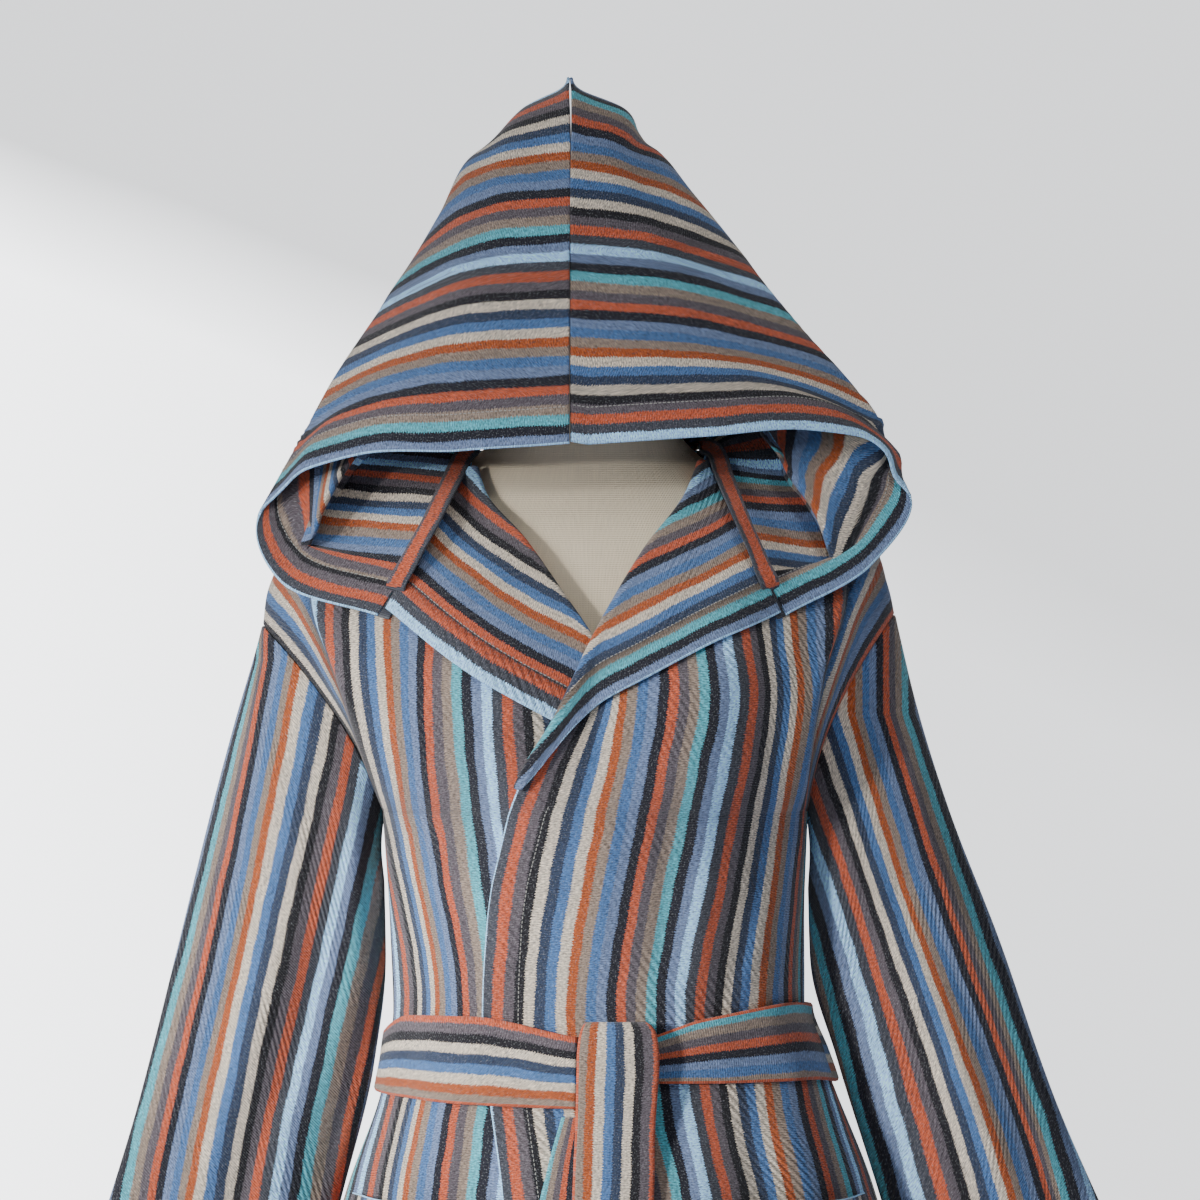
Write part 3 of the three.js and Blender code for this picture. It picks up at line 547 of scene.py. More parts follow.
def shoulder_seam(side, at):
    """The shoulder seam from the neck (0) to the armhole (1)."""
    sign = SIGN[side]
    x, z = DROP[side]
    places = [(88, 1509), (130, 1488), (172, 1466), (mix(190, x, 0.55), 1440), (x - 5, 1408), (x, z)]
    return even([(sign * px, 0, pz) for px, pz in places], at)


def patch(bottom, top, start, end, across, up):
    """A surface between four edges: rows for up, columns for across."""
    a = across[None, :, None]
    u = up[:, None, None]
    p = mix(start(up)[:, None], end(up)[:, None], a)
    low = bottom(across) - mix(start(up[:1] * 0), end(up[:1] * 0), across[:, None])
    high = top(across) - mix(start(up[:1] * 0 + 1), end(up[:1] * 0 + 1), across[:, None])
    return p + low[None] * (1 - u) + high[None] * u


# Relief: soft folds that every layer over the body shares, and the deep fold beside the chest


def unevenness(a, b, seed):
    """A slow, soft waviness between about -1 and 1 from two distances in millimetres."""
    first = np.sin(a / 23 + 1.7 * seed) * np.sin(b / 31 + 0.6 * seed)
    second = np.sin(a / 47 - 0.9 * seed + b / 61) * 0.8
    return first * 0.6 + second


UNEVEN = 1.3

# Soft folds on the front, as lines from (x0, z0) to (x1, z1) with a width and a height.
CREASES = table("x0 z0 x1 z1 width height", [
    [-170, 1232, -120, 1150, 9, 3.2],
    [-160, 1205, -105, 1105, 8, -2.6],
    [-150, 1180, -112, 1112, 7, 2.6],
    [-138, 1320, -112, 1180, 14, 2.2],
    [-92, 1290, -84, 1130, 12, -1.8],
    [-128, 1130, -96, 1102, 6, 2.4],
    [-62, 1190, -66, 1104, 8, 1.8],
    [20, 1230, 4, 1110, 10, 2.0],
    [66, 1250, 48, 1104, 9, -2.4],
    [92, 1300, 80, 1106, 11, 2.6],
    [150, 1215, 112, 1112, 9, 3.0],
    [138, 1330, 128, 1190, 12, -2.4],
    [158, 1190, 128, 1104, 7, 2.4],
    [118, 1150, 102, 1104, 6, -2.2],
    [-118, 1018, -140, 930, 10, 3.0],
    [-84, 1020, -92, 900, 10, -3.0],
    [-40, 1020, -46, 880, 11, 2.6],
    [76, 1020, 92, 900, 11, 3.0],
    [112, 1020, 140, 900, 10, -3.0],
    [142, 1018, 182, 910, 10, 3.4],
    [-170, 1378, -150, 1330, 7, 2.0],
    [150, 1385, 140, 1330, 7, 2.0],
])
# The step at the deep fold: how far each side stands out or sinks, and how far that reaches.
CHEST_STEP = {"out": 10, "out_reach": 20, "sunk": 6, "sunk_reach": 10, "edge": 1.8}


def line_profile(x, z, x0, z0, x1, z1, width):
    """A soft ridge along a line, one high in its middle and fading past its ends."""
    dx, dz = x1 - x0, z1 - z0
    length = math.hypot(dx, dz)
    along = ((x - x0) * dx + (z - z0) * dz) / length
    away = ((x - x0) * dz - (z - z0) * dx) / length
    ends = smooth(-0.25 * length, 0.3 * length, along) * smooth(1.25 * length, 0.7 * length, along)
    return bump(away, 0, width) * ends


def relief(p):
    """How far the cloth's soft folds stand out over the front of the body."""
    x, z = p[..., 0], p[..., 2]
    height = np.zeros(x.shape)
    for *line, tall in zip(*CREASES.values()):
        height += tall * line_profile(x, z, *line)
    beside_belt = 1 - bump(z, 1062, 38)
    return (height + UNEVEN * unevenness(x, z, 1)) * beside_belt * smooth(1400, 1360, z)


# Grids of points for each piece


def normals_of(grid, closed=False):
    if closed:
        across = np.roll(grid, -1, 1) - np.roll(grid, 1, 1)
    else:
        across = np.gradient(grid, axis=1)
    return unit(np.cross(across, np.gradient(grid, axis=0)))


def facing(line, ways, towards):
    """The same line, with its ways out turned towards a place."""
    turned = ((np.asarray(towards, float) - line) * ways).sum(-1, keepdims=True) < 0
    return line, np.where(turned, -ways, ways)


FRONTS = {
    "under": {"side": "left", "around": 0.0, "edge": UNDER_EDGE, "other": OVER_EDGE},
    "over": {"side": "right", "around": 0.5, "edge": OVER_EDGE, "other": UNDER_EDGE},
}
OPEN_CELLS = 8
SHARED_CELLS = 5
CHEST_TOP = 1190
CHEST_FOLD = {"low": 0.04, "high": 0.2, "width": 0.14, "step": 20, "fade": 0.6, "fullness": 0.6}


def overlap_lift(name, p):
    """How far the over front lies outside the under front."""
    if name == "under":
        return 0
    crossing = bump(p[..., 2], 1318, 62)
    reach = smooth(146, 96, p[..., 0]) * smooth(1480, 1400, p[..., 2])
    return reach * (OVERLAP_LIFT + CROSSING_LIFT * crossing)


def column_around(name, j, z):
    front = FRONTS[name]
    own = around_of(z, read(front["edge"], "z", z, "x"))
    shared = around_of(z, read(front["other"], "z", z, "x"))
    opened = mix(front["around"], shared, j / OPEN_CELLS)
    lapped = mix(shared, own, (j - OPEN_CELLS) / SHARED_CELLS)
    return np.where(j <= OPEN_CELLS, opened, lapped)


def chest_rows(count):
    return 1 - (1 - np.linspace(0, 1, count)) ** 1.5


# The deep fold beside the chest, from where it starts at the armhole up to the shoulder.
FOLD_LINE = {
    "under": table("z x", [[1225, -150], [1290, -169], [1340, -184], [1400, -203], [1509, -205]]),
    "over": table("z x", [[1225, 160], [1290, 164], [1340, 172], [1400, 189], [1509, 192]]),
}


def chest_fold(name, grid):
    """How far each point lies from the deep fold, towards the middle of the chest."""
    x, z = grid[..., 0], grid[..., 2]
    inward = (read(FOLD_LINE[name], "z", z, "x") - x) * SIGN[FRONTS[name]["side"]]
    return np.where(z < FOLD_LINE[name]["z"][0], 100, inward)


def front_grid(name, detail, below=None):
    """Rows of a front from the hem to the shoulder seam. The over front rests on the one below."""
    front = FRONTS[name]
    side, sign = front["side"], SIGN[front["side"]]
    columns = np.linspace(0, OPEN_CELLS + SHARED_CELLS, (OPEN_CELLS + SHARED_CELLS) * detail + 1)
    levels = np.linspace(HEM_Z, CHEST_TOP, 14 * detail + 1)[:, None]
    lower = body_point(column_around(name, columns[None], levels), levels)
    lower[..., 1] -= overlap_lift(name, lower)

    armpit = column_around(name, columns, np.full(columns.shape, float(ARMPIT_Z)))
    share = (armpit - front["around"]) / (armpit[-1] - front["around"])
    up = chest_rows(10 * detail + 1)
    top_z = CHEST["z"][-1]

    def end(t):
        z = mix(ARMPIT_Z, top_z, t)
        return vec(read(front["edge"], "z", z, "x"), -read(CHEST, "z", z, "depth"), z)

    p = patch(
        lambda t: body_point(mix(front["around"], armpit[-1], t), np.full(t.shape, float(ARMPIT_Z))),
        lambda t: shoulder_seam(side, 1 - t),
        lambda t: armhole(side, t / 2),
        end, share, up,
    )
    a, u = share[None, :], up[:, None]
    fold_at = mix(CHEST_FOLD["low"], CHEST_FOLD["high"], smooth(0.35, 1, u))
    rise = np.sin(math.pi * u).clip(0) ** CHEST_FOLD["fullness"]
    chest = smooth(fold_at, fold_at + CHEST_FOLD["width"], a) * smooth(1, CHEST_FOLD["fade"], a)
    p[..., 1] -= CHEST_FOLD["step"] * chest * rise
    p[..., 1] -= overlap_lift(name, p)
    if below is not None:
        hit, _, miss = find_on(below, p)
        lift = mix(OVERLAP_LIFT, LAPEL_LIFT + OVERLAP_LIFT, smooth(1256, 1290, p[..., 2])) + FACET / 2
        near = miss < 0.1
        p[..., 1] = np.where(near, np.minimum(p[..., 1], hit[..., 1] - lift), p[..., 1])
    p = off_form(p, CLOTH / 2 + SEAT + FRONT_SLACK)
    grid = np.concatenate([lower, p])
    grid[..., 1] -= relief(grid)
    inward = chest_fold(name, grid)
    fade = smooth(1225, 1262, grid[..., 2]) * smooth(1440, 1400, grid[..., 2])
    out = CHEST_STEP["out"] * np.exp(-inward.clip(0) / CHEST_STEP["out_reach"])
    sunk = -CHEST_STEP["sunk"] * np.exp(inward.clip(None, 0) / CHEST_STEP["sunk_reach"])
    grid[..., 1] -= mix(sunk, out, smooth(-CHEST_STEP["edge"], CHEST_STEP["edge"], inward)) * fade
    grid[:, 0, 1] -= SEAM
    grid[len(lower) + 1:, 0, 0] -= sign * SEAM
    grid[-1, :, 1] -= SHOULDER_SEAM
    return grid


def find_on(grid, places):
    """For each place, the point of a front's grid with the same x and z, the way out, and the miss."""
    low = max(0, int(np.argmax(grid[:, :, 2].min(axis=1) > 900)) - 1)
    grid = grid[low:]
    normals = normals_of(grid)
    normals = np.where(normals[..., 1:2] > 0, -normals, normals)
    corner = [grid[:-1, :-1], grid[:-1, 1:], grid[1:, 1:], grid[1:, :-1]]
    slant = [normals[:-1, :-1], normals[:-1, 1:], normals[1:, 1:], normals[1:, :-1]]
    picks = ((0, 1, 2), (0, 2, 3))
    a, b, c = (np.concatenate([corner[k[n]].reshape(-1, 3) for k in picks]) for n in range(3))
    na, nb, nc = (np.concatenate([slant[k[n]].reshape(-1, 3) for k in picks]) for n in range(3))
    ab, ac = b - a, c - a
    area = ab[:, 0] * ac[:, 2] - ac[:, 0] * ab[:, 2]
    flat = places.reshape(-1, 3)
    points, ways, misses = [], [], []
    for chunk in np.array_split(flat, max(1, len(flat) // 400)):
        dx = chunk[:, None, 0] - a[None, :, 0]
        dz = chunk[:, None, 2] - a[None, :, 2]
        u = (dx * ac[:, 2] - ac[:, 0] * dz) / area
        v = (ab[:, 0] * dz - dx * ab[:, 2]) / area
        miss = np.maximum(0, -u) + np.maximum(0, -v) + np.maximum(0, u + v - 1)
        best = miss.argmin(axis=1)
        row = np.arange(len(chunk))
        bu, bv = u[row, best][:, None], v[row, best][:, None]
        points.append(a[best] + ab[best] * bu + ac[best] * bv)
        ways.append(na[best] * (1 - bu - bv) + nb[best] * bu + nc[best] * bv)
        misses.append(miss[row, best])
    shape = places.shape[:-1]
    return (
        np.concatenate(points).reshape(*shape, 3),
        unit(np.concatenate(ways)).reshape(*shape, 3),
        np.concatenate(misses).reshape(shape),
    )


ROLL_INSET = 3
ROOT = 0.5


def lapel_grid(name, grid, rows=90, columns=44, turn_steps=10):
    """The lapel lies on its front and turns into it round the roll line. Column 0 is its hem."""
    lapel = LAPELS[name]
    inwards = -1 if name == "over" else 1
    down = np.linspace(0, 1, rows)
    z = read(lapel["roll"], "t", down, "z")
    fold_x = read(FRONTS[name]["edge"], "z", z, "x") - inwards * ROLL_INSET
    hem_x = read(lapel["hem"], "t", down, "x")
    hem_z = read(lapel["hem"], "t", down, "z")
    out = 1 - np.linspace(0, 1, columns)[None]
    x = mix(fold_x[:, None], hem_x[:, None], out)
    level = mix(z[:, None], hem_z[:, None], out)
    hit, way, _ = find_on(grid, vec(x, 0, level))
    face = hit + way * LAPEL_LIFT
    base, _, _ = find_on(grid, vec(fold_x, 0, z))
    rise = unit(face[:, -1] - base)
    inner = np.zeros_like(rise)
    inner[:, 0] = inwards
    inner = unit(inner - rise * (inner * rise).sum(-1, keepdims=True))
    turn = []
    for k in range(turn_steps):
        angle = math.pi * (k + 1) / turn_steps
        p = base + rise * (LAPEL_LIFT / 2 * (1 + math.cos(angle)))
        turn.append(p + inner * (ROLL_INSET + LAPEL_LIFT / 2 * math.sin(angle)))
    turn.append(base - inner * ROOT)
    return np.concatenate([face, np.stack(turn, 1)], axis=1)


SHOULDER_SHARE = 0.33
BACK_FULLNESS = 22


def back_grid(detail):
    across = np.linspace(0, 1, 22 * detail + 1)
    levels = np.linspace(HEM_Z, CHEST_TOP, 14 * detail + 1)[:, None]
    lower = body_point(mix(1, 0.5, across[None]), levels)
    neck = [(-88, 0, 1509), (-74, 42, 1510), (0, 71, 1511), (74, 42, 1510), (88, 0, 1509)]

    def top(t):
        left = shoulder_seam("left", np.clip(1 - t / SHOULDER_SHARE, 0, 1))
        right = shoulder_seam("right", np.clip(1 - (1 - t) / SHOULDER_SHARE, 0, 1))
        middle = even(neck, np.clip((t - SHOULDER_SHARE) / (1 - 2 * SHOULDER_SHARE), 0, 1))
        on_left = (t < SHOULDER_SHARE)[:, None]
        on_right = (t > 1 - SHOULDER_SHARE)[:, None]
        return np.where(on_left, left, np.where(on_right, right, middle))

    up = chest_rows(10 * detail + 1)
    p = patch(
        lambda t: body_point(mix(1, 0.5, t), np.full(t.shape, float(ARMPIT_Z))),
        top,
        lambda t: armhole("left", 1 - t / 2),
        lambda t: armhole("right", 1 - t / 2),
        across, up,
    )
    bulge = np.sin(math.pi * up)[:, None] * np.sin(math.pi * across).clip(0)[None] ** 0.7
    p[..., 1] -= BACK_FULLNESS * bulge
    p = off_form(p, CLOTH / 2 + SEAT + BACK_SLACK)
    grid = np.concatenate([lower, p])
    grid[:, [0, -1], 1] += SEAM
    grid[len(lower) + 1:, 0, 0] += SEAM
    grid[len(lower) + 1:, -1, 0] -= SEAM
    grid[-1, :, 1] += SHOULDER_SEAM
    return grid


ARMHOLE_LINE = {"across": 100, "down": 420, "share": 0.6}


def sleeve_grid(side, rows=150, around=150):
    """Rings of a sleeve from the armhole to the cuff, starting at the armpit."""
    sleeve, sign = SLEEVES[side], SIGN[side]
    s = np.linspace(0, 1, rows)[:, None]
    turn = (np.arange(around) / around)[None]
    angle = turn * 2 * math.pi
    along = (1 - np.cos(angle)) / 2
    x = mix(read(sleeve, "s", s, "innerX"), read(sleeve, "s", s, "outerX"), along)
    z = mix(read(sleeve, "s", s, "innerZ"), read(sleeve, "s", s, "outerZ"), along)
    wave = SLEEVE_WAVE * np.sin(3 * angle + 4 * s) * smooth(0.1, 0.5, s)
    lean = turn + 0.02 * np.sin(5 * s)
    for centre, start, stop, width, height in zip(*SLEEVE_FOLDS.values()):
        length = smooth(start, start + 0.2, s) * smooth(stop, stop - 0.3, s)
        wave = wave + height * bump(lean, centre, width) * length
    y = SLEEVE_BACK * smooth(0, 0.6, s) - np.sin(angle) * (read(sleeve, "s", s, "depth") + wave)
    plain = vec(sign * x, y, z)
    seam = np.repeat(armhole(side, turn, ARMHOLE_GAP), rows, axis=0)
    first = seam[0].copy()
    seam[..., 0] += sign * s * ARMHOLE_LINE["across"]
    seam[..., 2] -= s * ARMHOLE_LINE["down"]
    grid = mix(plain, seam, (smooth(0.16, 0, s) * ARMHOLE_LINE["share"])[..., None])
    reach = smooth(0, 0.035, s)[..., None]
    return mix(first[None] + (grid - grid[:1]), grid, reach)


def tucked(side, row, lines, distance, across):
    """A row of the hood whose cloth turns back under the fold inside it."""
    rows_of, sign = TUCK[side], SIGN[side]

    def at(part):
        x, y, z = (read(rows_of, "d", distance, part + axis) for axis in "xyz")
        return vec(sign * x, y, z)

    low, high = TUCK_COLUMNS
    below, edge = at("a"), at("b")
    hook = (below + edge) / 2 + vec(sign * HOOK, 0, 0)
    near_neck = even([row[0], below], np.clip(across / low, 0, 1))
    turn = even([below, hook, edge], np.clip((across - low) / (high - low), 0, 1))
    wall = even([edge, at("w"), *lines[2:]], np.clip((across - high) / (1 - high), 0, 1))
    share = across[:, None]
    return np.where(share < low, near_neck, np.where(share < high, turn, wall))


def hood_grid(side, rows=130, columns=150):
    """One hood half as rows from the front edge to the back seam, from the neck to the top seam."""
    sign = SIGN[side]
    rise = HOOD_RIGHT_RISE if side == "right" else 0
    lines = []
    for name, rows_of in HOOD.items():
        k = np.arange(6)
        first, last = SEAM_SHARE[name]
        lift = rise * (1 - k / 5) if name in ("side", "crease") else 0
        x = HOOD_SEAM_X * mix(first, last, smooth(2, 5, k)) + sign * rows_of[side]
        lines.append(spline(vec(x, rows_of["y"], rows_of["z"] + lift), np.linspace(0, 1, rows)))
    across = np.linspace(0, 1, columns)
    share = np.interp(across, (0, *TUCK_COLUMNS, 1), (0, *CREASE_SHARE, 1))
    grid = np.stack([even([line[i] for line in lines], share) for i in range(rows)])
    distance = arc_lengths(grid, 0)
    middle = np.sum(TUCK_COLUMNS) / 2
    at_crease = distance[:, int(middle * columns)]
    start, full = TUCK[side]["d"][0] - 16, TUCK[side]["d"][0] + 6
    for i in range(rows):
        share = smooth(start, full, at_crease[i]) * smooth(185, 140, at_crease[i])
        if share > 0:
            line = tucked(side, grid[i], [line[i] for line in lines], at_crease[i], across)
            grid[i] = mix(grid[i], line, share)
    above = smooth(0, 14, grid[..., 2] - lines[2][:, None, 2])
    lift = read(EDGE_RISE[side], "x", np.abs(grid[..., 0]), "z")
    grid[..., 2] += lift * above * smooth(110, 0, distance)
    from_seam = np.abs(grid[..., 0] - HOOD_SEAM_X * smooth(1500, 1600, grid[..., 2]))
    share = np.clip(from_seam / (0.8 * (1795 - grid[..., 2])), 0, 1)
    grid[..., 0] += sign * share * read(WIDENING[side], "z", grid[..., 2], "x")
    grid += normals_of(grid) * (UNEVEN * unevenness(distance, arc_lengths(grid, 1), SIGN[side]))[..., None]
    return off_form(grid, CLOTH), distance


# The tape's lines: how far each lies up from the neck seam, and how much lower it lies behind.
TAPE_ACROSS = np.array([-9, -8, -4.5, -1, 2.5, 5.2, 6])
TAPE_LOWER = np.array([-7, -7, -4, -1, 0, 0, 0])
TAPE_LIFT = {"behind": 3.6, "in_front": 3.2}
TAPE_TUCK = 8
TAPE_SUNK = 0.035
FACE_OPENING = np.array([0, -300, 1560.0])


def tape_grid(hoods):
    """The tape over the neck seam, from one end to the other. Both ends tuck under the hood's hem."""

    def strip(grid):
        edge = grid[:, 0]
        normal = normals_of(grid)[:, 0]
        _, normal = facing(edge, normal, FACE_OPENING)
        away = unit(grid[:, 8] - edge)
        place = np.linspace(0, 1, len(grid))
        out = TAPE_LIFT["behind"] + TAPE_LIFT["in_front"] * smooth(0.34, 0.22, place)
        out -= TAPE_TUCK * smooth(0.075, 0.055, place)
        middle = edge + normal * out[:, None]
        behind = smooth(0.36, 0.46, place)
        reach = TAPE_ACROSS[None] + TAPE_LOWER[None] * behind[:, None]
        line = middle[:, None] + away[:, None] * reach[..., None]
        return off_form(line, TAPE_CLOTH + 2 * FACET)

    left = strip(hoods["left"])
    right = strip(hoods["right"])[::-1]
    return np.concatenate([left[:-4], right[4:]])


def band_grid(rows=340, columns=17):
    around = np.linspace(BAND["around"][0], BAND["around"][-1], rows)[:, None]
    z = mix(
        read(BAND, "around", around, "bottom"),
        read(BAND, "around", around, "top"),
        np.linspace(0, 1, columns)[None],
    )
    place = around % 1
    p = body_point(np.broadcast_to(place, z.shape), z, CLOTH / 2 + BELT_CLOTH / 2 + SEAM + 2.4)
    in_front = (place < 0.5) & (p[..., 1] < 0)
    p[..., 1] -= np.where(in_front, overlap_lift("over", p), 0)
    bow = np.sin(math.pi * np.linspace(0, 1, columns))[None]
    waves = np.sin(around * 61) + 0.7 * np.sin(around * 113 + 2 * bow)
    return p + unit(vec(p[..., 0], p[..., 1], 0)) * (0.9 * bow * (1 + waves))[..., None]


def tail_grid(rows, steps, columns=17):
    s = np.linspace(0, 1, steps)[:, None] ** 1.4
    z = np.broadcast_to(read(rows, "s", s, "z"), (steps, columns))
    share = np.linspace(-0.5, 0.5, columns)[None]
    x = read(rows, "s", s, "x") + read(rows, "s", s, "width") * share
    p = body_point(around_of(z, x), z)
    p[..., 1] -= overlap_lift("over", p) + read(rows, "s", s, "lift") + CLOTH / 2
    loose = smooth(0.3, 0.5, s)
    cup = (np.cos(2 * math.pi * share) * 0.9 + np.sin(9 * share + 14 * s) * 0.8 + 0.9) * loose
    p[..., 1] -= relief(p).clip(0) + cup
    return p


def pocket_grid(side, rows=48, columns=48):
    pocket = POCKETS[side]
    down = np.linspace(0, 1, rows)[:, None]
    across = np.linspace(0, 1, columns)[None]
    z = np.broadcast_to(POCKET_TOP - POCKET_HEIGHT * down, (rows, columns))
    opened = POCKET_GAPE * np.sin(math.pi * across) ** 2 * (1 - down) ** 1.5
    around = np.broadcast_to(mix(pocket["from"], pocket["to"], across), z.shape)
    p = body_point(around, z, CLOTH + POCKET_GAP + opened)
    if side == "right":
        p[..., 1] -= overlap_lift("over", p)
    p[..., 1] -= relief(p)
    return p


# Stripes over the grids. A field holds, for each point, the stripe's number, the distance along
# it, the number on a turned hem, and the distance in from that hem's edge.


def lane_number(lanes, x, z):
    """The stripe's number at x and z, held at the outermost one that the lanes name."""
    rows = np.array(lanes["rows"], float)
    numbers = lanes["numbers"]
    places = [monotone(rows[:, 0], rows[:, k + 1], z) for k in range(len(numbers))]
    number = np.full(x.shape, float(numbers[0]))
    for k in range(len(numbers) - 1):
        share = np.clip((x - places[k]) / (places[k + 1] - places[k]), 0, 1)
        number += (numbers[k + 1] - numbers[k]) * share
    return number, places


def lane_stripes(grid, lanes):
    """Stripe numbers over a grid. Past the outermost named stripes they follow the cloth's width."""
    x, z = grid[..., 0], grid[..., 2]
    number, places = lane_number(lanes, x, z)
    numbers = lanes["numbers"]
    along_x = 1 if places[-1].mean() > places[0].mean() else -1
    rising = 1 if numbers[-1] > numbers[0] else -1
    arc = arc_lengths(grid, 1)
    for edge, outside in ((places[0], -along_x), (places[-1], along_x)):
        past = (x - edge) * outside
        for i in range(len(grid)):
            order = np.argsort(past[i])
            crossing = np.interp(0, past[i][order], arc[i][order])
            beyond = np.where(past[i] > 0, np.abs(arc[i] - crossing), 0) / STRIPE
            number[i] += beyond * outside * along_x * rising
    return number


def field(number, along, hem=None, inside=None):
    """A field of stripes. Without a turned hem the whole cloth is inside it."""
    number, along = np.broadcast_arrays(number, along)
    hem = number if hem is None else np.broadcast_to(hem, number.shape)
    inside = np.full(number.shape, 100.0) if inside is None else np.broadcast_to(inside, number.shape)
    return np.stack([number, along, hem, inside], -1).astype(float)


def distance_to(line, grid):
    """How far each point of a grid is from the nearest point of a line."""
    return np.min([np.linalg.norm(grid - p, axis=-1) for p in line], axis=0)


def front_field(name, grid):
    """Stripes run down a front. Past the deep fold they follow the armhole instead."""
    lanes = LANES_OVER if name == "over" else LANES_UNDER
    number = lane_stripes(grid, lanes)
    along = arc_lengths(grid, 0)
    from_armhole = distance_to(armhole(FRONTS[name]["side"], np.linspace(0, 0.5, 160)), grid)
    number_there = 14.8 - from_armhole / STRIPE if name == "over" else 4.2 + from_armhole / STRIPE
    return field(number, along, number_there, chest_fold(name, grid))


# Meshes


def rimmed(values, start, end, axis):
    """Adds a line of points just inside the first and last line, at the given shares of the step."""
    values = np.moveaxis(values, axis, 0)
    first = values[0] + (values[1] - values[0]) * start[..., None]
    last = values[-1] + (values[-2] - values[-1]) * end[..., None]
    joined = np.concatenate([values[:1], first[None], values[1:-1], last[None], values[-1:]])
    return np.moveaxis(joined, 0, axis)


def with_rims(arrays, grid, width, axis):
    """The arrays with a rim line along both borders, a rim's width in from them."""
    g = np.moveaxis(grid, axis, 0)
    start = np.clip(width / np.maximum(np.linalg.norm(g[1] - g[0], axis=-1), 1e-6), 0, 0.6)
    end = np.clip(width / np.maximum(np.linalg.norm(g[-2] - g[-1], axis=-1), 1e-6), 0, 0.6)
    return [rimmed(a, start, end, axis) for a in arrays]


EDGE_SHARE = 0.4


def shell(grid, thickness, outer, inner=None, closed=False, edge=None, sides=(), centre=None):
    """Vertices, faces and stripe fields of a cloth wall about a grid, with soft edges.

    The named sides (top, bottom, first, last) take the edge's stripe.
    """
    inner = outer if inner is None else inner
    if closed:
        grid = np.concatenate([grid, grid[:, :1]], axis=1)
    arrays = with_rims([grid, outer, inner], grid, thickness / 2, 0)
    if not closed:
        arrays = with_rims(arrays, arrays[0], thickness / 2, 1)
    grid, outer, inner = arrays
    rows, columns = grid.shape[:2]
    normals = normals_of(grid)
    if closed:
        ring = unit(normals[:, 0] + normals[:, -1])
        normals[:, 0] = ring
        normals[:, -1] = ring
    middle = vec(0, 0, grid[..., 2]) if centre is None else np.asarray(centre, float)
    if ((grid - middle) * normals).sum(-1).mean() < 0:
        normals = -normals
    half = np.full((rows, columns), thickness / 2)
    half[[0, -1]] *= EDGE_SHARE
    if not closed:
        half[1:-1, [0, -1]] *= EDGE_SHARE
    points = [grid + normals * half[..., None], grid - normals * half[..., None]]
    spans = columns - 1
    index = np.arange(rows * columns).reshape(rows, columns)
    if closed:
        index[:, -1] = index[:, 0]
    i, j = np.meshgrid(np.arange(rows - 1), np.arange(spans), indexing="ij")
    i, j = i.ravel(), j.ravel()
    corners = ((i, j), (i, j + 1), (i + 1, j + 1), (i + 1, j))
    faces, fields = [], []
    for layer, values in enumerate((outer, inner)):
        turn = corners if layer == 0 else corners[::-1]
        faces.append(np.stack([index[r, c] + layer * rows * columns for r, c in turn], 1))
        fields.append(np.stack([values[r, c] for r, c in turn], 1))
    borders = [((0, 0), np.arange(columns)), ((rows - 1, 0), np.arange(columns)[::-1])]
    lines = [(np.full(columns, r[0]), c) for r, c in borders]
    if not closed:
        lines.append((np.arange(rows)[::-1], np.zeros(rows, int)))
        lines.append((np.arange(rows), np.full(rows, columns - 1)))
    for r, c in lines:
        a, b = index[r[:-1], c[:-1]], index[r[1:], c[1:]]
        low = rows * columns
        faces.append(np.stack([a, a + low, b + low, b], 1))
        start, end = outer[r[:-1], c[:-1]], outer[r[1:], c[1:]]
        fields.append(np.stack([start, start, end, end], 1))
    faces, fields = np.concatenate(faces), np.concatenate(fields)
    if edge is not None:
        near = rim_faces(faces, rows, columns, sides)
        fields[near, :, 0] = edge
        fields[near, :, 2] = edge
    points = np.concatenate([p.reshape(-1, 3) for p in points])
    a, b, c = points[faces[:, 0]], points[faces[:, 1]], points[faces[:, 2]]
    if (a * np.cross(b, c)).sum() < 0:
        faces, fields = faces[:, ::-1], fields[:, ::-1]
    return points, faces, fields


def rim_faces(faces, rows, columns, sides):
    """Which faces lie on the named edges of a wall or on the soft line beside them."""
    place = faces % (rows * columns)
    r, c = place // columns, place % columns
    on = {"top": r == 0, "bottom": r == rows - 1, "first": c == 0, "last": c == columns - 1}
    return np.any([on[side].any(1) for side in sides], axis=0)


def new_object(name, points, faces):
    """A smooth mesh from points in millimetres."""
    mesh = bpy.data.meshes.new(name)
    mesh.from_pydata((np.asarray(points) * MM).tolist(), [], faces)
    mesh.polygons.foreach_set("use_smooth", np.ones(len(mesh.polygons), bool))
    piece = bpy.data.objects.new(name, mesh)
    bpy.context.scene.collection.objects.link(piece)
    return piece


def dressed(piece, material, node):
    """The same piece with its material, in place of a node of the frame where one is named."""
    piece.data.materials.append(material)
    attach(piece, "root")
    if node:
        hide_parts(node)
    return piece


def stacked(parts):
    """Points and faces of several meshes as one."""
    starts = np.cumsum([0] + [len(part[0]) for part in parts])
    points = np.concatenate([part[0] for part in parts])
    return points, np.concatenate([part[1] + start for part, start in zip(parts, starts)]).tolist()


def make_piece(name, shells, material, node):
    """One object of cloth from one or more shells, with its stripe fields in two UV layers."""
    piece = new_object(name, *stacked(shells))
    corners = np.concatenate([fields for _, _, fields in shells]).reshape(-1, 4)
    for layer, columns in (("Stripes", (0, 1)), ("Hem", (2, 3))):
        uv = piece.data.uv_layers.new(name=layer)
        uv.data.foreach_set("uv", corners[:, columns].astype(np.float32).ravel())
    piece.data.validate()
    return dressed(piece, material, node)


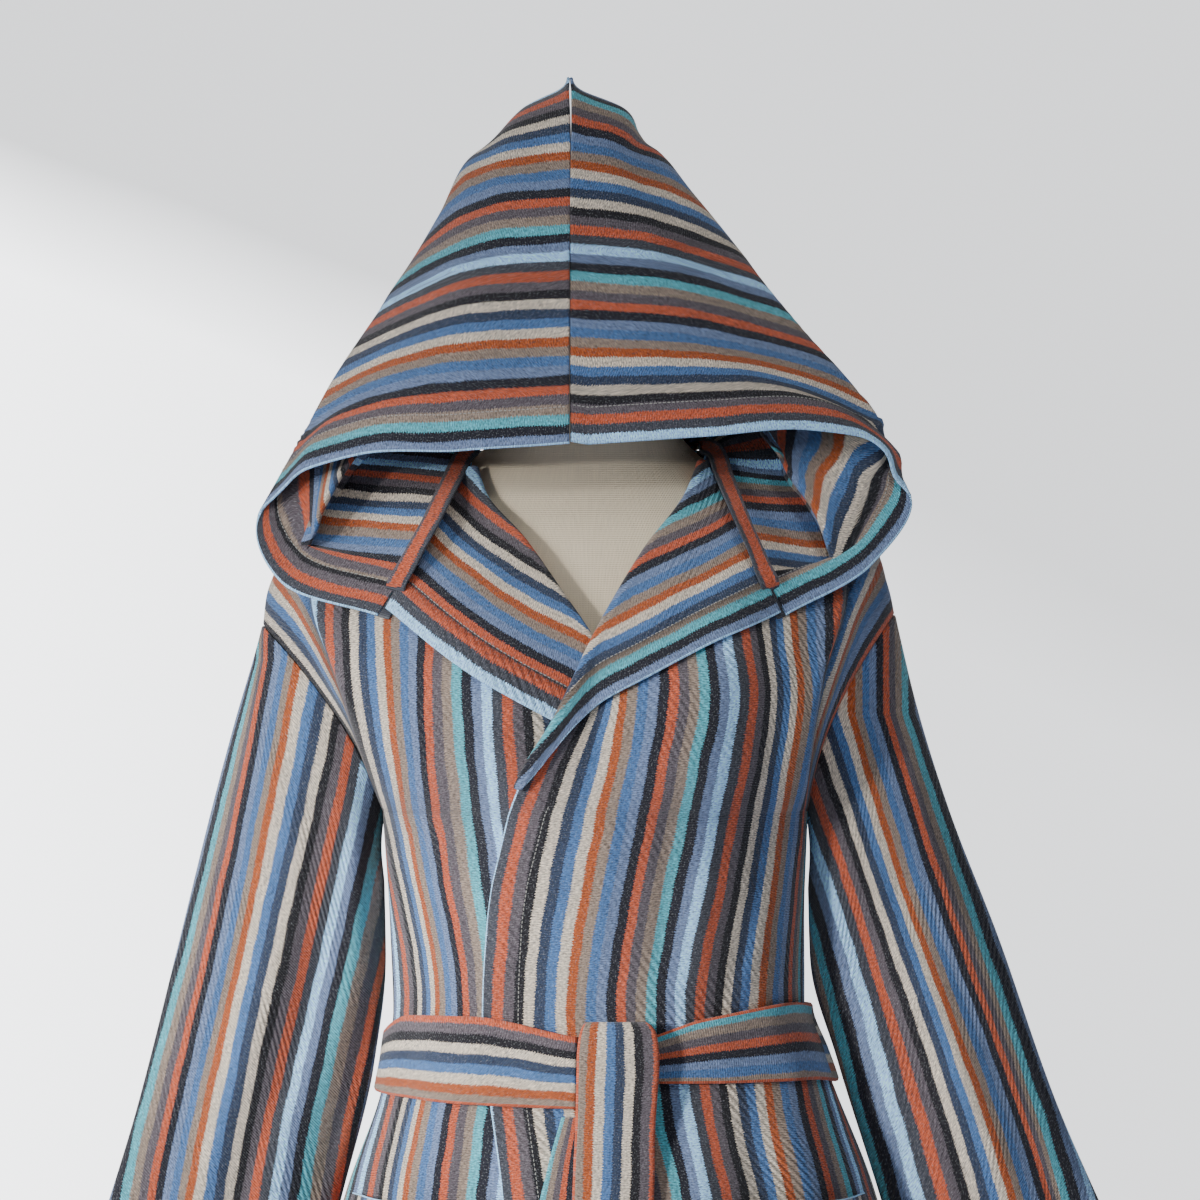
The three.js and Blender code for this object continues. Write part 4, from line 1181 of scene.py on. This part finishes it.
def ring_solid(rings, low, high):
    """Points and faces of a closed solid from its rings, low to high, and its two end points."""
    count, around = rings.shape[:2]
    points = [*rings.reshape(-1, 3).tolist(), low, high]
    pairs = [(j, (j + 1) % around) for j in range(around)]
    starts = [(i * around, (i + 1) * around) for i in range(count - 1)]
    faces = [(a + j, a + k, b + k, b + j) for a, b in starts for j, k in pairs]
    end, top = len(points) - 2, (count - 1) * around
    faces += [(k, j, end) for j, k in pairs]
    faces += [(top + j, top + k, end + 1) for j, k in pairs]
    return points, faces


# Materials


CURVE_POWER = 0.8
CURVE_SHARE = 0.294
WHITE = 1.45


def seen(*colour):
    """The surface colour that looks like this one in the picture where white cloth is this bright.

    The view's tone curve is close to v^p / (v^p + k), and this undoes it.
    """
    parts = [min(c, 250) / 255 for c in colour]
    return tuple((CURVE_SHARE * c / (1 - c)) ** (1 / CURVE_POWER) / WHITE for c in parts) + (1,)


RUST = seen(176, 102, 48)
CORAL = seen(186, 108, 70)
BEIGE = seen(158, 145, 133)
OFF_WHITE = seen(194, 189, 181)
BLUE = seen(90, 132, 172)
DENIM = seen(56, 72, 102)
PERIWINKLE = seen(130, 148, 174)
PALE_BLUE = seen(178, 200, 212)
TURQUOISE = seen(106, 178, 186)
NAVY = seen(32, 34, 48)
BLACK = seen(30, 29, 36)
PURPLE_GREY = seen(110, 102, 110)
SLATE = seen(78, 82, 94)
REPEAT = [
    PALE_BLUE, SLATE, CORAL, PURPLE_GREY, BLACK, OFF_WHITE, DENIM, BLUE, OFF_WHITE, RUST,
    BEIGE, BLUE, PERIWINKLE, NAVY, CORAL, PURPLE_GREY, BEIGE, TURQUOISE, NAVY, PERIWINKLE,
]


class Nodes:
    """Short calls for building a tree of nodes."""

    def __init__(self, tree):
        self.tree = tree

    def add(self, kind, settings=(), **inputs):
        node = self.tree.nodes.new(kind)
        for key, value in dict(settings).items():
            setattr(node, key, value)
        for key, value in inputs.items():
            self.feed(node.inputs[int(key[1:]) if key[0] == "i" and key[1:].isdigit() else key], value)
        return node

    def feed(self, socket, value):
        if isinstance(value, bpy.types.NodeSocket):
            self.tree.links.new(value, socket)
        else:
            socket.default_value = value

    def math(self, operation, a, b=0.0, clamp=False):
        node = self.add("ShaderNodeMath", {"operation": operation, "use_clamp": clamp}, i0=a, i1=b)
        return node.outputs[0]

    def total(self, value, *others):
        for other in others:
            value = self.math("ADD", value, other)
        return value

    def product(self, value, *others):
        for other in others:
            value = self.math("MULTIPLY", value, other)
        return value

    def noise(self, vector, scale, detail=2.0):
        return self.add("ShaderNodeTexNoise", Vector=vector, Scale=scale, Detail=detail).outputs["Fac"]

    def remap(self, value, low, high, start, end):
        node = self.add("ShaderNodeMapRange", i0=value, i1=low, i2=high, i3=start, i4=end)
        return node.outputs[0]

    def blend(self, kind, share, a, b):
        node = self.add("ShaderNodeMix", {"data_type": "RGBA", "blend_type": kind})
        self.feed(node.inputs[0], share)
        self.feed(node.inputs[6], a)
        self.feed(node.inputs[7], b)
        return node.outputs[2]

    def wave(self, value, length):
        return self.math("SINE", self.product(value, 2 * math.pi / length))

    def joined(self, x, y=0.0, z=0.0):
        return self.add("ShaderNodeCombineXYZ", X=x, Y=y, Z=z).outputs[0]

    def grey(self, tone):
        return self.add("ShaderNodeCombineColor", Red=tone, Green=tone, Blue=tone).outputs[0]

    def uv(self, layer):
        return self.add("ShaderNodeUVMap", {"uv_map": layer}).outputs[0]

    def split(self, vector):
        return self.add("ShaderNodeSeparateXYZ", Vector=vector).outputs

    def own_place(self):
        return self.add("ShaderNodeTexCoord").outputs["Object"]


class Surface(Nodes):
    """A material's nodes."""

    def __init__(self, name):
        self.material = bpy.data.materials.new(name)
        self.material.use_nodes = True
        super().__init__(self.material.node_tree)
        self.shader = self.tree.nodes["Principled BSDF"]

    def finish(self, colour, roughness, height, distance, sheen=0.0, specular=0.3, metallic=0.0):
        bump_node = self.add("ShaderNodeBump", Height=height, Distance=distance, Strength=0.8)
        self.feed(self.shader.inputs["Base Color"], colour)
        self.feed(self.shader.inputs["Roughness"], roughness)
        self.feed(self.shader.inputs["Normal"], bump_node.outputs[0])
        self.shader.inputs["Sheen Weight"].default_value = sheen
        self.shader.inputs["Sheen Roughness"].default_value = 0.6
        self.shader.inputs["Specular IOR Level"].default_value = specular
        self.shader.inputs["Metallic"].default_value = metallic
        return self.material


# Towelling, in millimetres of cloth
RIB = 1.9
RIPPLE = 6.5
WEFT_STRETCH = 0.3
FLECKS = {"pale": seen(176, 178, 180), "dark": seen(52, 54, 66)}


def towelling(name, ripple, painted_fold_shade=1.0):
    """Striped towelling: bands from the stripe's number, flecked yarn, fine ribs and ripples.

    Cloth that goes in under a turned edge or a deep fold darkens towards the fold shade, a painted shade
    that stands in for the shadow in the fold.
    """
    n = Surface(name)
    number, along, _ = n.split(n.uv("Stripes"))
    hem_number, inside, _ = n.split(n.uv("Hem"))
    is_main = n.math("GREATER_THAN", inside, 0.0)
    step = n.product(n.math("SUBTRACT", number, hem_number), is_main)
    number = n.total(hem_number, step)
    across = n.product(number, STRIPE)
    place = n.joined(across, along)
    stretched = n.product(across, WEFT_STRETCH)
    wefts = n.joined(stretched, along)

    teeth = n.product(n.math("PINGPONG", along, 1.0), 0.13)
    drift = n.product(n.math("SUBTRACT", n.noise(place, 0.03, 1.0), 0.5), 0.45)
    fray = n.product(n.math("SUBTRACT", n.noise(wefts, 1.6, 1.0), 0.5), 0.5)
    shifted = n.total(number, n.total(teeth, n.total(drift, fray)))
    phase = n.math("FRACT", n.math("DIVIDE", shifted, float(len(REPEAT))))
    ramp = n.add("ShaderNodeValToRGB", i0=phase)
    ramp.color_ramp.interpolation = "CONSTANT"
    stops = ramp.color_ramp.elements
    stops[0].color = REPEAT[0]
    stops[1].position = 1 / len(REPEAT)
    stops[1].color = REPEAT[1]
    for k in range(2, len(REPEAT)):
        stops.new(k / len(REPEAT)).color = REPEAT[k]

    yarn = n.noise(wefts, 1.3, 3.0)
    slub = n.noise(n.joined(across, n.product(along, 0.2)), 0.7)
    cloud = n.noise(place, 0.02, 2.0)
    rib = n.wave(along, RIB)
    tone = n.product(
        n.remap(yarn, 0.32, 0.68, 0.42, 1.62),
        n.remap(rib, -1.0, 1.0, 0.9, 1.1),
        n.remap(slub, 0.3, 0.7, 0.86, 1.16),
        n.remap(cloud, 0.3, 0.7, 0.92, 1.08),
        # Painted shade: darker within 8 mm on the sunk side of a deep fold or turned edge, in place of its
        # shadow.
        n.math("MAXIMUM", n.remap(inside, -8.0, -0.5, 1.0, painted_fold_shade), is_main),
    )
    toned = n.blend("MULTIPLY", 1.0, ramp.outputs[0], n.grey(tone))
    elsewhere = n.joined(n.total(along, 40.0), across)
    pale = n.remap(n.noise(elsewhere, 0.8, 2.0), 0.56, 0.70, 0.0, 0.34)
    dark = n.remap(n.noise(n.joined(along, stretched), 0.9, 2.0), 0.56, 0.70, 0.0, 0.42)
    colour = n.blend("MIX", pale, toned, FLECKS["pale"])
    colour = n.blend("MIX", dark, colour, FLECKS["dark"])

    slant = n.wave(n.total(n.product(along, 0.8), across), RIPPLE)
    patches = n.remap(n.noise(place, 0.012, 1.0), 0.42, 0.62, 0.0, ripple)
    ply = n.remap(inside, -0.7, 0.7, 1.0, 0.0)
    ripples = n.product(slant, patches)
    height = n.total(n.product(rib, 0.3), n.product(yarn, 0.8), n.product(ply, 1.6), ripples)
    return n.finish(colour, 0.92, height, 0.0005, sheen=0.2, specular=0.12)


def linen():
    """Natural linen: a plain weave of uneven threads."""
    n = Surface("linen")
    place = n.own_place()
    x, y, z = n.split(place)
    around = n.math("ARCTAN2", x, n.product(y, -1.0))
    weave = n.total(n.math("SINE", n.product(around, 520.0)), n.wave(z, 0.0016))
    slub = n.noise(n.joined(n.product(around, 60.0), n.product(z, 9.0)), 6.0, 3.0)
    tone = n.total(n.remap(slub, 0.3, 0.7, 0.88, 1.08), n.product(weave, 0.02))
    tone = n.product(tone, n.remap(n.noise(place, 7.0, 2.0), 0.3, 0.7, 0.96, 1.04))
    colour = n.blend("MULTIPLY", 1.0, seen(204, 199, 188), n.grey(tone))
    return n.finish(colour, 0.88, n.total(n.product(weave, 0.3), slub), 0.0003, sheen=0.1, specular=0.2)


def thread():
    n = Surface("thread")
    spots = n.noise(n.own_place(), 2600.0, 1.0)
    colour = n.blend("MIX", n.remap(spots, 0.4, 0.6, 0.0, 1.0), seen(150, 150, 150), seen(186, 186, 182))
    return n.finish(colour, 0.6, spots, 0.0001, sheen=0.1)


def wood():
    """Turned oak for the base, with its grain along X."""
    n = Surface("wood")
    x, y, z = n.split(n.own_place())
    grain = n.noise(n.joined(n.product(x, 4.0), n.product(y, 60.0), z), 1.6, 5.0)
    pores = n.noise(n.joined(n.product(x, 30.0), n.product(y, 900.0)), 1.0, 1.0)
    tone = n.math("MULTIPLY", n.remap(grain, 0.3, 0.7, 0.0, 1.0), n.remap(pores, 0.35, 0.5, 0.6, 1.0), True)
    colour = n.blend("MIX", tone, seen(120, 88, 58), seen(176, 138, 98))
    return n.finish(colour, n.remap(grain, 0.2, 0.8, 0.55, 0.38), tone, 0.0003)


def steel():
    """Satin steel, brushed round the pole."""
    n = Surface("steel")
    x, y, z = n.split(n.own_place())
    brushed = n.noise(n.joined(x, y, n.product(z, 12.0)), 90.0, 3.0)
    colour = n.blend("MIX", brushed, seen(168, 168, 170), seen(204, 204, 206))
    return n.finish(colour, n.remap(brushed, 0.3, 0.7, 0.28, 0.42), brushed, 0.0001, metallic=1.0)


def studio_floor():
    n = Surface("floor")
    soft = n.noise(n.own_place(), 3.0, 3.0)
    colour = n.blend("MIX", soft, seen(222, 223, 226), seen(229, 230, 232))
    return n.finish(colour, 0.75, soft, 0.0005)


# Pieces

DETAIL = 8
SUPPORT_DETAIL = 3

cloth = towelling("towelling", 0.15)
# This cloth paints shade on the fronts and lapels beside the deep chest fold and the turned hems.
rippled_cloth = towelling("rippled_towelling", 1.1, 0.4)
linen_cover = linen()
oak = wood()
satin_steel = steel()
grey_thread = thread()


front_grids, lapel_grids = {}, {}


def make_fronts():
    pieces = {}
    support = {"under": front_grid("under", SUPPORT_DETAIL)}
    support["over"] = front_grid("over", SUPPORT_DETAIL, support["under"])
    below = None
    for name in ("under", "over"):
        grid = front_grid(name, DETAIL, below)
        below = support["under"]
        stripes = front_field(name, grid)
        lapel = lapel_grid(name, support[name])
        front_grids[name], lapel_grids[name] = grid, lapel
        hem = arc_lengths(lapel, 1)
        along = arc_lengths(lapel, 0)
        if name == "under":
            turned, main = hem / STRIPE * 0.85, 15 - (hem - HEM_WIDTH) / STRIPE
        else:
            turned, main = 20 - hem / STRIPE, 6 + (hem - HEM_WIDTH) / STRIPE
        lapel_stripes = field(main, along, turned, hem - HEM_WIDTH)
        shells = [
            shell(grid, CLOTH, stripes, edge=0.4, sides=["last"]),
            shell(lapel, CLOTH, lapel_stripes, edge=0.4, sides=["first"]),
        ]
        title = f"robe_front_{name}"
        pieces[name] = make_piece(title, shells, rippled_cloth, f"front_{name}")
    return pieces


def make_back():
    grid = back_grid(DETAIL)
    arc = arc_lengths(grid, 1)
    middle = arc[:, arc.shape[1] // 2][:, None]
    stripes = field(4.5 + (arc - middle) / STRIPE, arc_lengths(grid, 0))
    return make_piece("robe_back", [shell(grid, CLOTH, stripes)], rippled_cloth, "back")


def make_sleeve(side):
    grid = sleeve_grid(side)
    half = grid.shape[1] // 2
    ring = np.concatenate([grid, grid[:, :1]], axis=1)
    lanes = LANES_LEFT if side == "left" else LANES_RIGHT
    front = lane_stripes(grid[:, :half + 1], lanes)
    behind = arc_lengths(ring[:, half:], 1)[:, 1:] / STRIPE
    number = np.concatenate([front, front[:, -1:] + behind], axis=1)
    stripes = field(number, arc_lengths(ring, 0))
    piece = shell(grid, CLOTH, stripes, closed=True, edge=0.4, sides=["bottom"])
    return make_piece(f"robe_sleeve_{side}", [piece], rippled_cloth, f"sleeve_{side}")


def make_hood(side, grid, hem):
    along = arc_lengths(grid, 1)
    forward, backward = hem / STRIPE, 20 - hem / STRIPE
    outside, inside = (backward, forward + 0.85) if side == "left" else (forward, backward)
    outer = field(outside, along)
    inner = field(outside, along, inside, hem - HEM_WIDTH)
    middle = np.array([0, 20, 1600.0])
    piece = shell(grid, CLOTH, outer, inner, edge=0.4, sides=["top"], centre=middle)
    return make_piece(f"robe_hood_{side}", [piece], cloth, f"hood_{side}")


def make_tape(hoods):
    grid = tape_grid(hoods)
    share = np.linspace(0, 1, grid.shape[1])[None]
    place = np.linspace(0, 1, len(grid))[:, None]
    middle = np.interp(share, [0, 0.3, 0.72, 1], [1.2, 2.0, 3.0, 3.9])
    sunk = (place < TAPE_SUNK) | (place > 1 - TAPE_SUNK)
    number = np.where(sunk, 1.5, middle)
    piece = shell(grid, TAPE_CLOTH, field(number, arc_lengths(grid, 0)))
    return make_piece("robe_neck_tape", [piece], cloth, "neck_tape")


def make_belt():
    band = band_grid()
    columns = band.shape[1]
    share = np.linspace(0, 1, columns)[None]
    around = np.linspace(BAND["around"][0], BAND["around"][-1], len(band))[:, None]
    along = arc_lengths(band, 0)
    twist = (around - 0.47 - 0.02 * share) * 1000
    stripes = field(mix(10.9, 2.3, share), along, mix(10.2, 18, share), twist)
    long_edges = ["first", "last"]
    piece = shell(band, BELT_CLOTH, stripes, edge=2.5, sides=long_edges)
    pieces = [make_piece("robe_belt_band", [piece], cloth, "belt_band")]
    for name, rows, steps in (("over", TAIL_OVER, 140), ("under", TAIL_UNDER, 90)):
        tail = tail_grid(rows, steps)
        start, end = (11, 2.4) if name == "over" else (17.8, 9.5)
        number = np.broadcast_to(mix(start, end, share), tail.shape[:2])
        stripes = field(number, arc_lengths(tail, 0))
        edge = 2.5 if name == "over" else 17.5
        piece = shell(tail, BELT_CLOTH, stripes, edge=edge, sides=long_edges)
        node = f"belt_tail_{name}"
        pieces.append(make_piece(f"robe_{node}", [piece], cloth, node))
    return pieces


def make_pocket(side):
    grid = pocket_grid(side)
    arc = arc_lengths(grid, 1)
    stripes = field(3 + arc / STRIPE, arc_lengths(grid, 0))
    piece = shell(grid, CLOTH, stripes, edge=0.4, sides=["top"])
    return make_piece(f"robe_pocket_{side}", [piece], rippled_cloth, f"pocket_{side}")


def line_at(grid, distance, axis=1, end=True):
    """A line on a grid at a distance in from one border, with the way out of the cloth."""
    g = grid if axis == 1 else np.swapaxes(grid, 0, 1)
    g = g[:, ::-1] if end else g
    arc = arc_lengths(g, 1)
    normals = normals_of(g)
    places, ways = [], []
    for i in range(len(g)):
        at = [np.interp(distance, arc[i], g[i, :, k]) for k in range(3)]
        way = [np.interp(distance, arc[i], normals[i, :, k]) for k in range(3)]
        places.append(at)
        ways.append(way)
    return np.array(places), unit(np.array(ways))


def stitched(line, ways, lift, spacing=3.3, length=2.3, radius=0.42):
    """Small spindles of thread along a line, lifted off the cloth."""
    steps = np.linalg.norm(np.diff(line, axis=0), axis=1)
    arc = np.concatenate([[0], np.cumsum(steps)])
    starts = np.arange(spacing / 2, arc[-1] - length, spacing)

    def at(distance, values):
        return np.stack([np.interp(distance, arc, values[:, k]) for k in range(3)], -1)

    out = unit(at(starts, ways)) * lift
    a, b = at(starts, line) + out, at(starts + length, line) + out
    along = unit(b - a)
    up = unit(out)
    side = unit(np.cross(along, up))
    rings = []
    for share, wide in ((0.0, 0.25), (0.2, 0.85), (0.5, 1.0), (0.8, 0.85), (1.0, 0.25)):
        middle = mix(a, b, share)
        for k in range(5):
            angle = 2 * math.pi * k / 5
            rings.append(middle + (side * math.cos(angle) + up * math.sin(angle) * 0.7) * radius * wide)
    points = np.stack(rings, 1)
    faces = []
    for r in range(4):
        for k in range(5):
            n = (k + 1) % 5
            faces.append((r * 5 + k, r * 5 + n, r * 5 + 5 + n, r * 5 + 5 + k))
    quads = np.array(faces)[None] + (np.arange(len(a)) * 25)[:, None, None]
    return points.reshape(-1, 3), quads.reshape(-1, 4)


def make_stitches(name, lines):
    """One object of thread from lines of (points, ways out, lift)."""
    solid = stacked([stitched(*line) for line in lines])
    return dressed(new_object(name, *solid), grey_thread, None)


def make_torso(rings=160, around=144):
    """The dress form's body."""
    level = np.linspace(TORSO_FLOOR, FORM_TOP, rings)[:, None]
    angle = np.arange(around) / around * 2 * math.pi
    c, s = np.cos(angle)[None], np.sin(angle)[None]
    half = read(FORM, "z", level, "half")
    depth = np.where(s > 0, read(FORM, "z", level, "front"), read(FORM, "z", level, "back"))
    x = half * np.sign(c) * np.abs(c) ** (2 / ROUNDNESS)
    y = -depth * np.sign(s) * np.abs(s) ** (2 / ROUNDNESS)
    solid = ring_solid(vec(x, y, level), (0, 0, TORSO_FLOOR), (0, 0, FORM_TOP))
    dressed(new_object("form_body", *solid), linen_cover, "form_torso")


def turned_piece(name, profile, material, node, around=96):
    """A turned solid from a profile of radius and height that starts and ends on the axis."""
    radius, z = (np.array(profile[1:-1])[:, k, None] for k in (0, 1))
    angle = (np.arange(around) / around * 2 * math.pi)[None]
    rings = vec(radius * np.cos(angle), radius * np.sin(angle), z)
    solid = ring_solid(rings, (0, 0, profile[0][1]), (0, 0, profile[-1][1]))
    dressed(new_object(name, *solid), material, node)


def rounded(corners, radius=1.0, steps=4):
    """A profile with each inner corner cut to a small arc."""
    out = [corners[0]]
    for before, corner, after in zip(corners, corners[1:], corners[2:]):
        corner = np.array(corner, float)
        start = corner + unit(np.array(before, float) - corner) * radius
        end = corner + unit(np.array(after, float) - corner) * radius
        for k in range(steps + 1):
            t = k / steps
            p = start * (1 - t) ** 2 + corner * 2 * t * (1 - t) + end * t * t
            out.append((float(p[0]), float(p[1])))
    out.append(corners[-1])
    return out


def make_stand():
    plate = rounded([
        (0, 0), (BASE_RADIUS - 2, 0), (BASE_RADIUS, 3), (BASE_RADIUS - 3, 10),
        (BASE_RADIUS - 24, BASE_HEIGHT), (0, BASE_HEIGHT),
    ])
    tube = rounded([
        (0, BASE_HEIGHT + SEAM), (POLE_RADIUS, BASE_HEIGHT + SEAM),
        (POLE_RADIUS, TORSO_FLOOR - SEAM), (0, TORSO_FLOOR - SEAM),
    ], 0.6)
    turned_piece("stand_base", plate, oak, "form_base")
    turned_piece("stand_pole", tube, satin_steel, "form_pole")


fronts = make_fronts()
back = make_back()
sleeves = {side: make_sleeve(side) for side in ("left", "right")}
hood_grids = {side: hood_grid(side) for side in ("left", "right")}
hoods = {side: make_hood(side, *hood_grids[side]) for side in ("left", "right")}
tape = make_tape({side: grid for side, (grid, _) in hood_grids.items()})
belt = make_belt()
pockets = {side: make_pocket(side) for side in ("left", "right")}
make_torso()
make_stand()

VIEWER = (0, -4000, 1400)
STITCH_LINE = HEM_WIDTH + 0.5
STITCH_LIFT = 1.35


def hood_stitches(side):
    grid, _ = hood_grids[side]
    line, ways = line_at(grid, STITCH_LINE, axis=0, end=False)
    _, out = facing(line, ways, (0, -300, 1480))
    return [(line, out, STITCH_LIFT), (line, -out, STITCH_LIFT - 0.05)]


stitch_lines = hood_stitches("left") + hood_stitches("right")
for name, grid in front_grids.items():
    line, ways = line_at(grid, STITCH_LINE)
    line, ways = facing(line, ways, VIEWER)
    keep = line[:, 2] < (1250 if name == "over" else 1040)
    stitch_lines.append((line[keep], ways[keep], STITCH_LIFT))
for name, grid in lapel_grids.items():
    line, ways = line_at(grid[4:-4], STITCH_LINE, end=False)
    line, ways = facing(line, ways, VIEWER)
    reach = int(len(line) * (0.72 if name == "over" else 1))
    stitch_lines.append((line[:reach], ways[:reach], STITCH_LIFT))
make_stitches("thread_hems", stitch_lines)


# Stage, lights and camera

CAMERA_DISTANCE = 4.0
FRAME_WIDTH = 0.888
SENSOR = 36.0
WALL_LIGHT = 1.35
# The room's light from the far left and from the far right.
ROOM_LIGHT = (0.42, 0.03)


def make_world():
    """A pale wall behind the robe, with a soft slanting edge of daylight, and a dimmer room."""
    world = bpy.data.worlds.new("studio")
    world.use_nodes = True
    bpy.context.scene.world = world
    n = Nodes(world.node_tree)
    x, y, z = n.split(n.add("ShaderNodeTexCoord").outputs["Generated"])
    depth = n.math("MAXIMUM", y, 0.2)
    u, v = n.math("DIVIDE", x, depth), n.math("DIVIDE", z, depth)
    soft = n.product(n.math("SUBTRACT", n.noise(n.joined(u, v), 8.0, 1.0), 0.5), 0.02)
    daylight = n.remap(n.total(n.product(u, 0.43), v, soft), 0.018, 0.042, 1.0, 0.0)
    to_right = n.remap(u, -0.11, 0.06, 1.0, 0.12)
    wall = n.total(n.product(daylight, to_right, 2.6), WALL_LIGHT)
    ahead = n.remap(y, 0.80, 0.93, 0.0, 1.0)
    room = n.remap(x, -0.7, 0.8, *ROOM_LIGHT)
    strength = n.total(n.product(wall, ahead), room)
    background = n.tree.nodes["Background"]
    background.inputs[0].default_value = (0.955, 0.97, 1, 1)
    n.feed(background.inputs[1], strength)


def make_stage():
    size, drop = 6000, 0.4
    corners = [(-size, -size, -drop), (size, -size, -drop), (size, size, -drop), (-size, size, -drop)]
    sheet = new_object("floor", corners, [(0, 1, 2, 3)])
    sheet.data.materials.append(studio_floor())
    make_world()


def aim(lamp, place, target):
    lamp.location = place
    direction = np.array(target, float) - np.array(place, float)
    yaw = math.atan2(direction[1], direction[0])
    pitch = math.atan2(direction[2], math.hypot(direction[0], direction[1]))
    lamp.rotation_euler = (pitch + math.pi / 2, 0, yaw - math.pi / 2)
    bpy.context.scene.collection.objects.link(lamp)


def add_light(kind, name, place, target, power, **settings):
    light = bpy.data.lights.new(name, kind)
    light.energy = power
    for key, value in settings.items():
        setattr(light, key, value)
    aim(bpy.data.objects.new(name, light), place, target)


def add_area(name, place, target, power, size, degrees):
    add_light("AREA", name, place, target, power, size=size, spread=math.radians(degrees))


def add_spot(name, place, target, power, degrees):
    soft = {"shadow_soft_size": 0.35, "spot_blend": 1.0, "color": (1, 0.97, 0.93)}
    add_light("SPOT", name, place, target, power, spot_size=math.radians(degrees), **soft)


def make_camera():
    camera = bpy.data.cameras.new("camera")
    camera.sensor_width = SENSOR
    camera.lens = SENSOR * CAMERA_DISTANCE / FRAME_WIDTH
    camera.clip_end = 50
    holder = bpy.data.objects.new("camera", camera)
    holder.location = (0.009, -0.06 - CAMERA_DISTANCE, 1.397)
    holder.rotation_euler = (math.pi / 2, 0, 0)
    bpy.context.scene.collection.objects.link(holder)
    bpy.context.scene.camera = holder


make_stage()
add_area("window", (-3.2, -1.7, 2.2), (-0.25, 0, 1.25), power=1.7, size=0.9, degrees=24)
add_area("above", (0.3, -2.2, 3.9), (0, 0, 1.6), power=1.2, size=1.0, degrees=40)
add_spot("on_hood", (0.9, -2.9, 3.2), (0.07, 0, 1.66), power=330, degrees=8)
add_spot("daylight", (-2.7, -2.6, 1.6), (-0.16, -0.1, 1.09), power=1500, degrees=10.5)
make_camera()
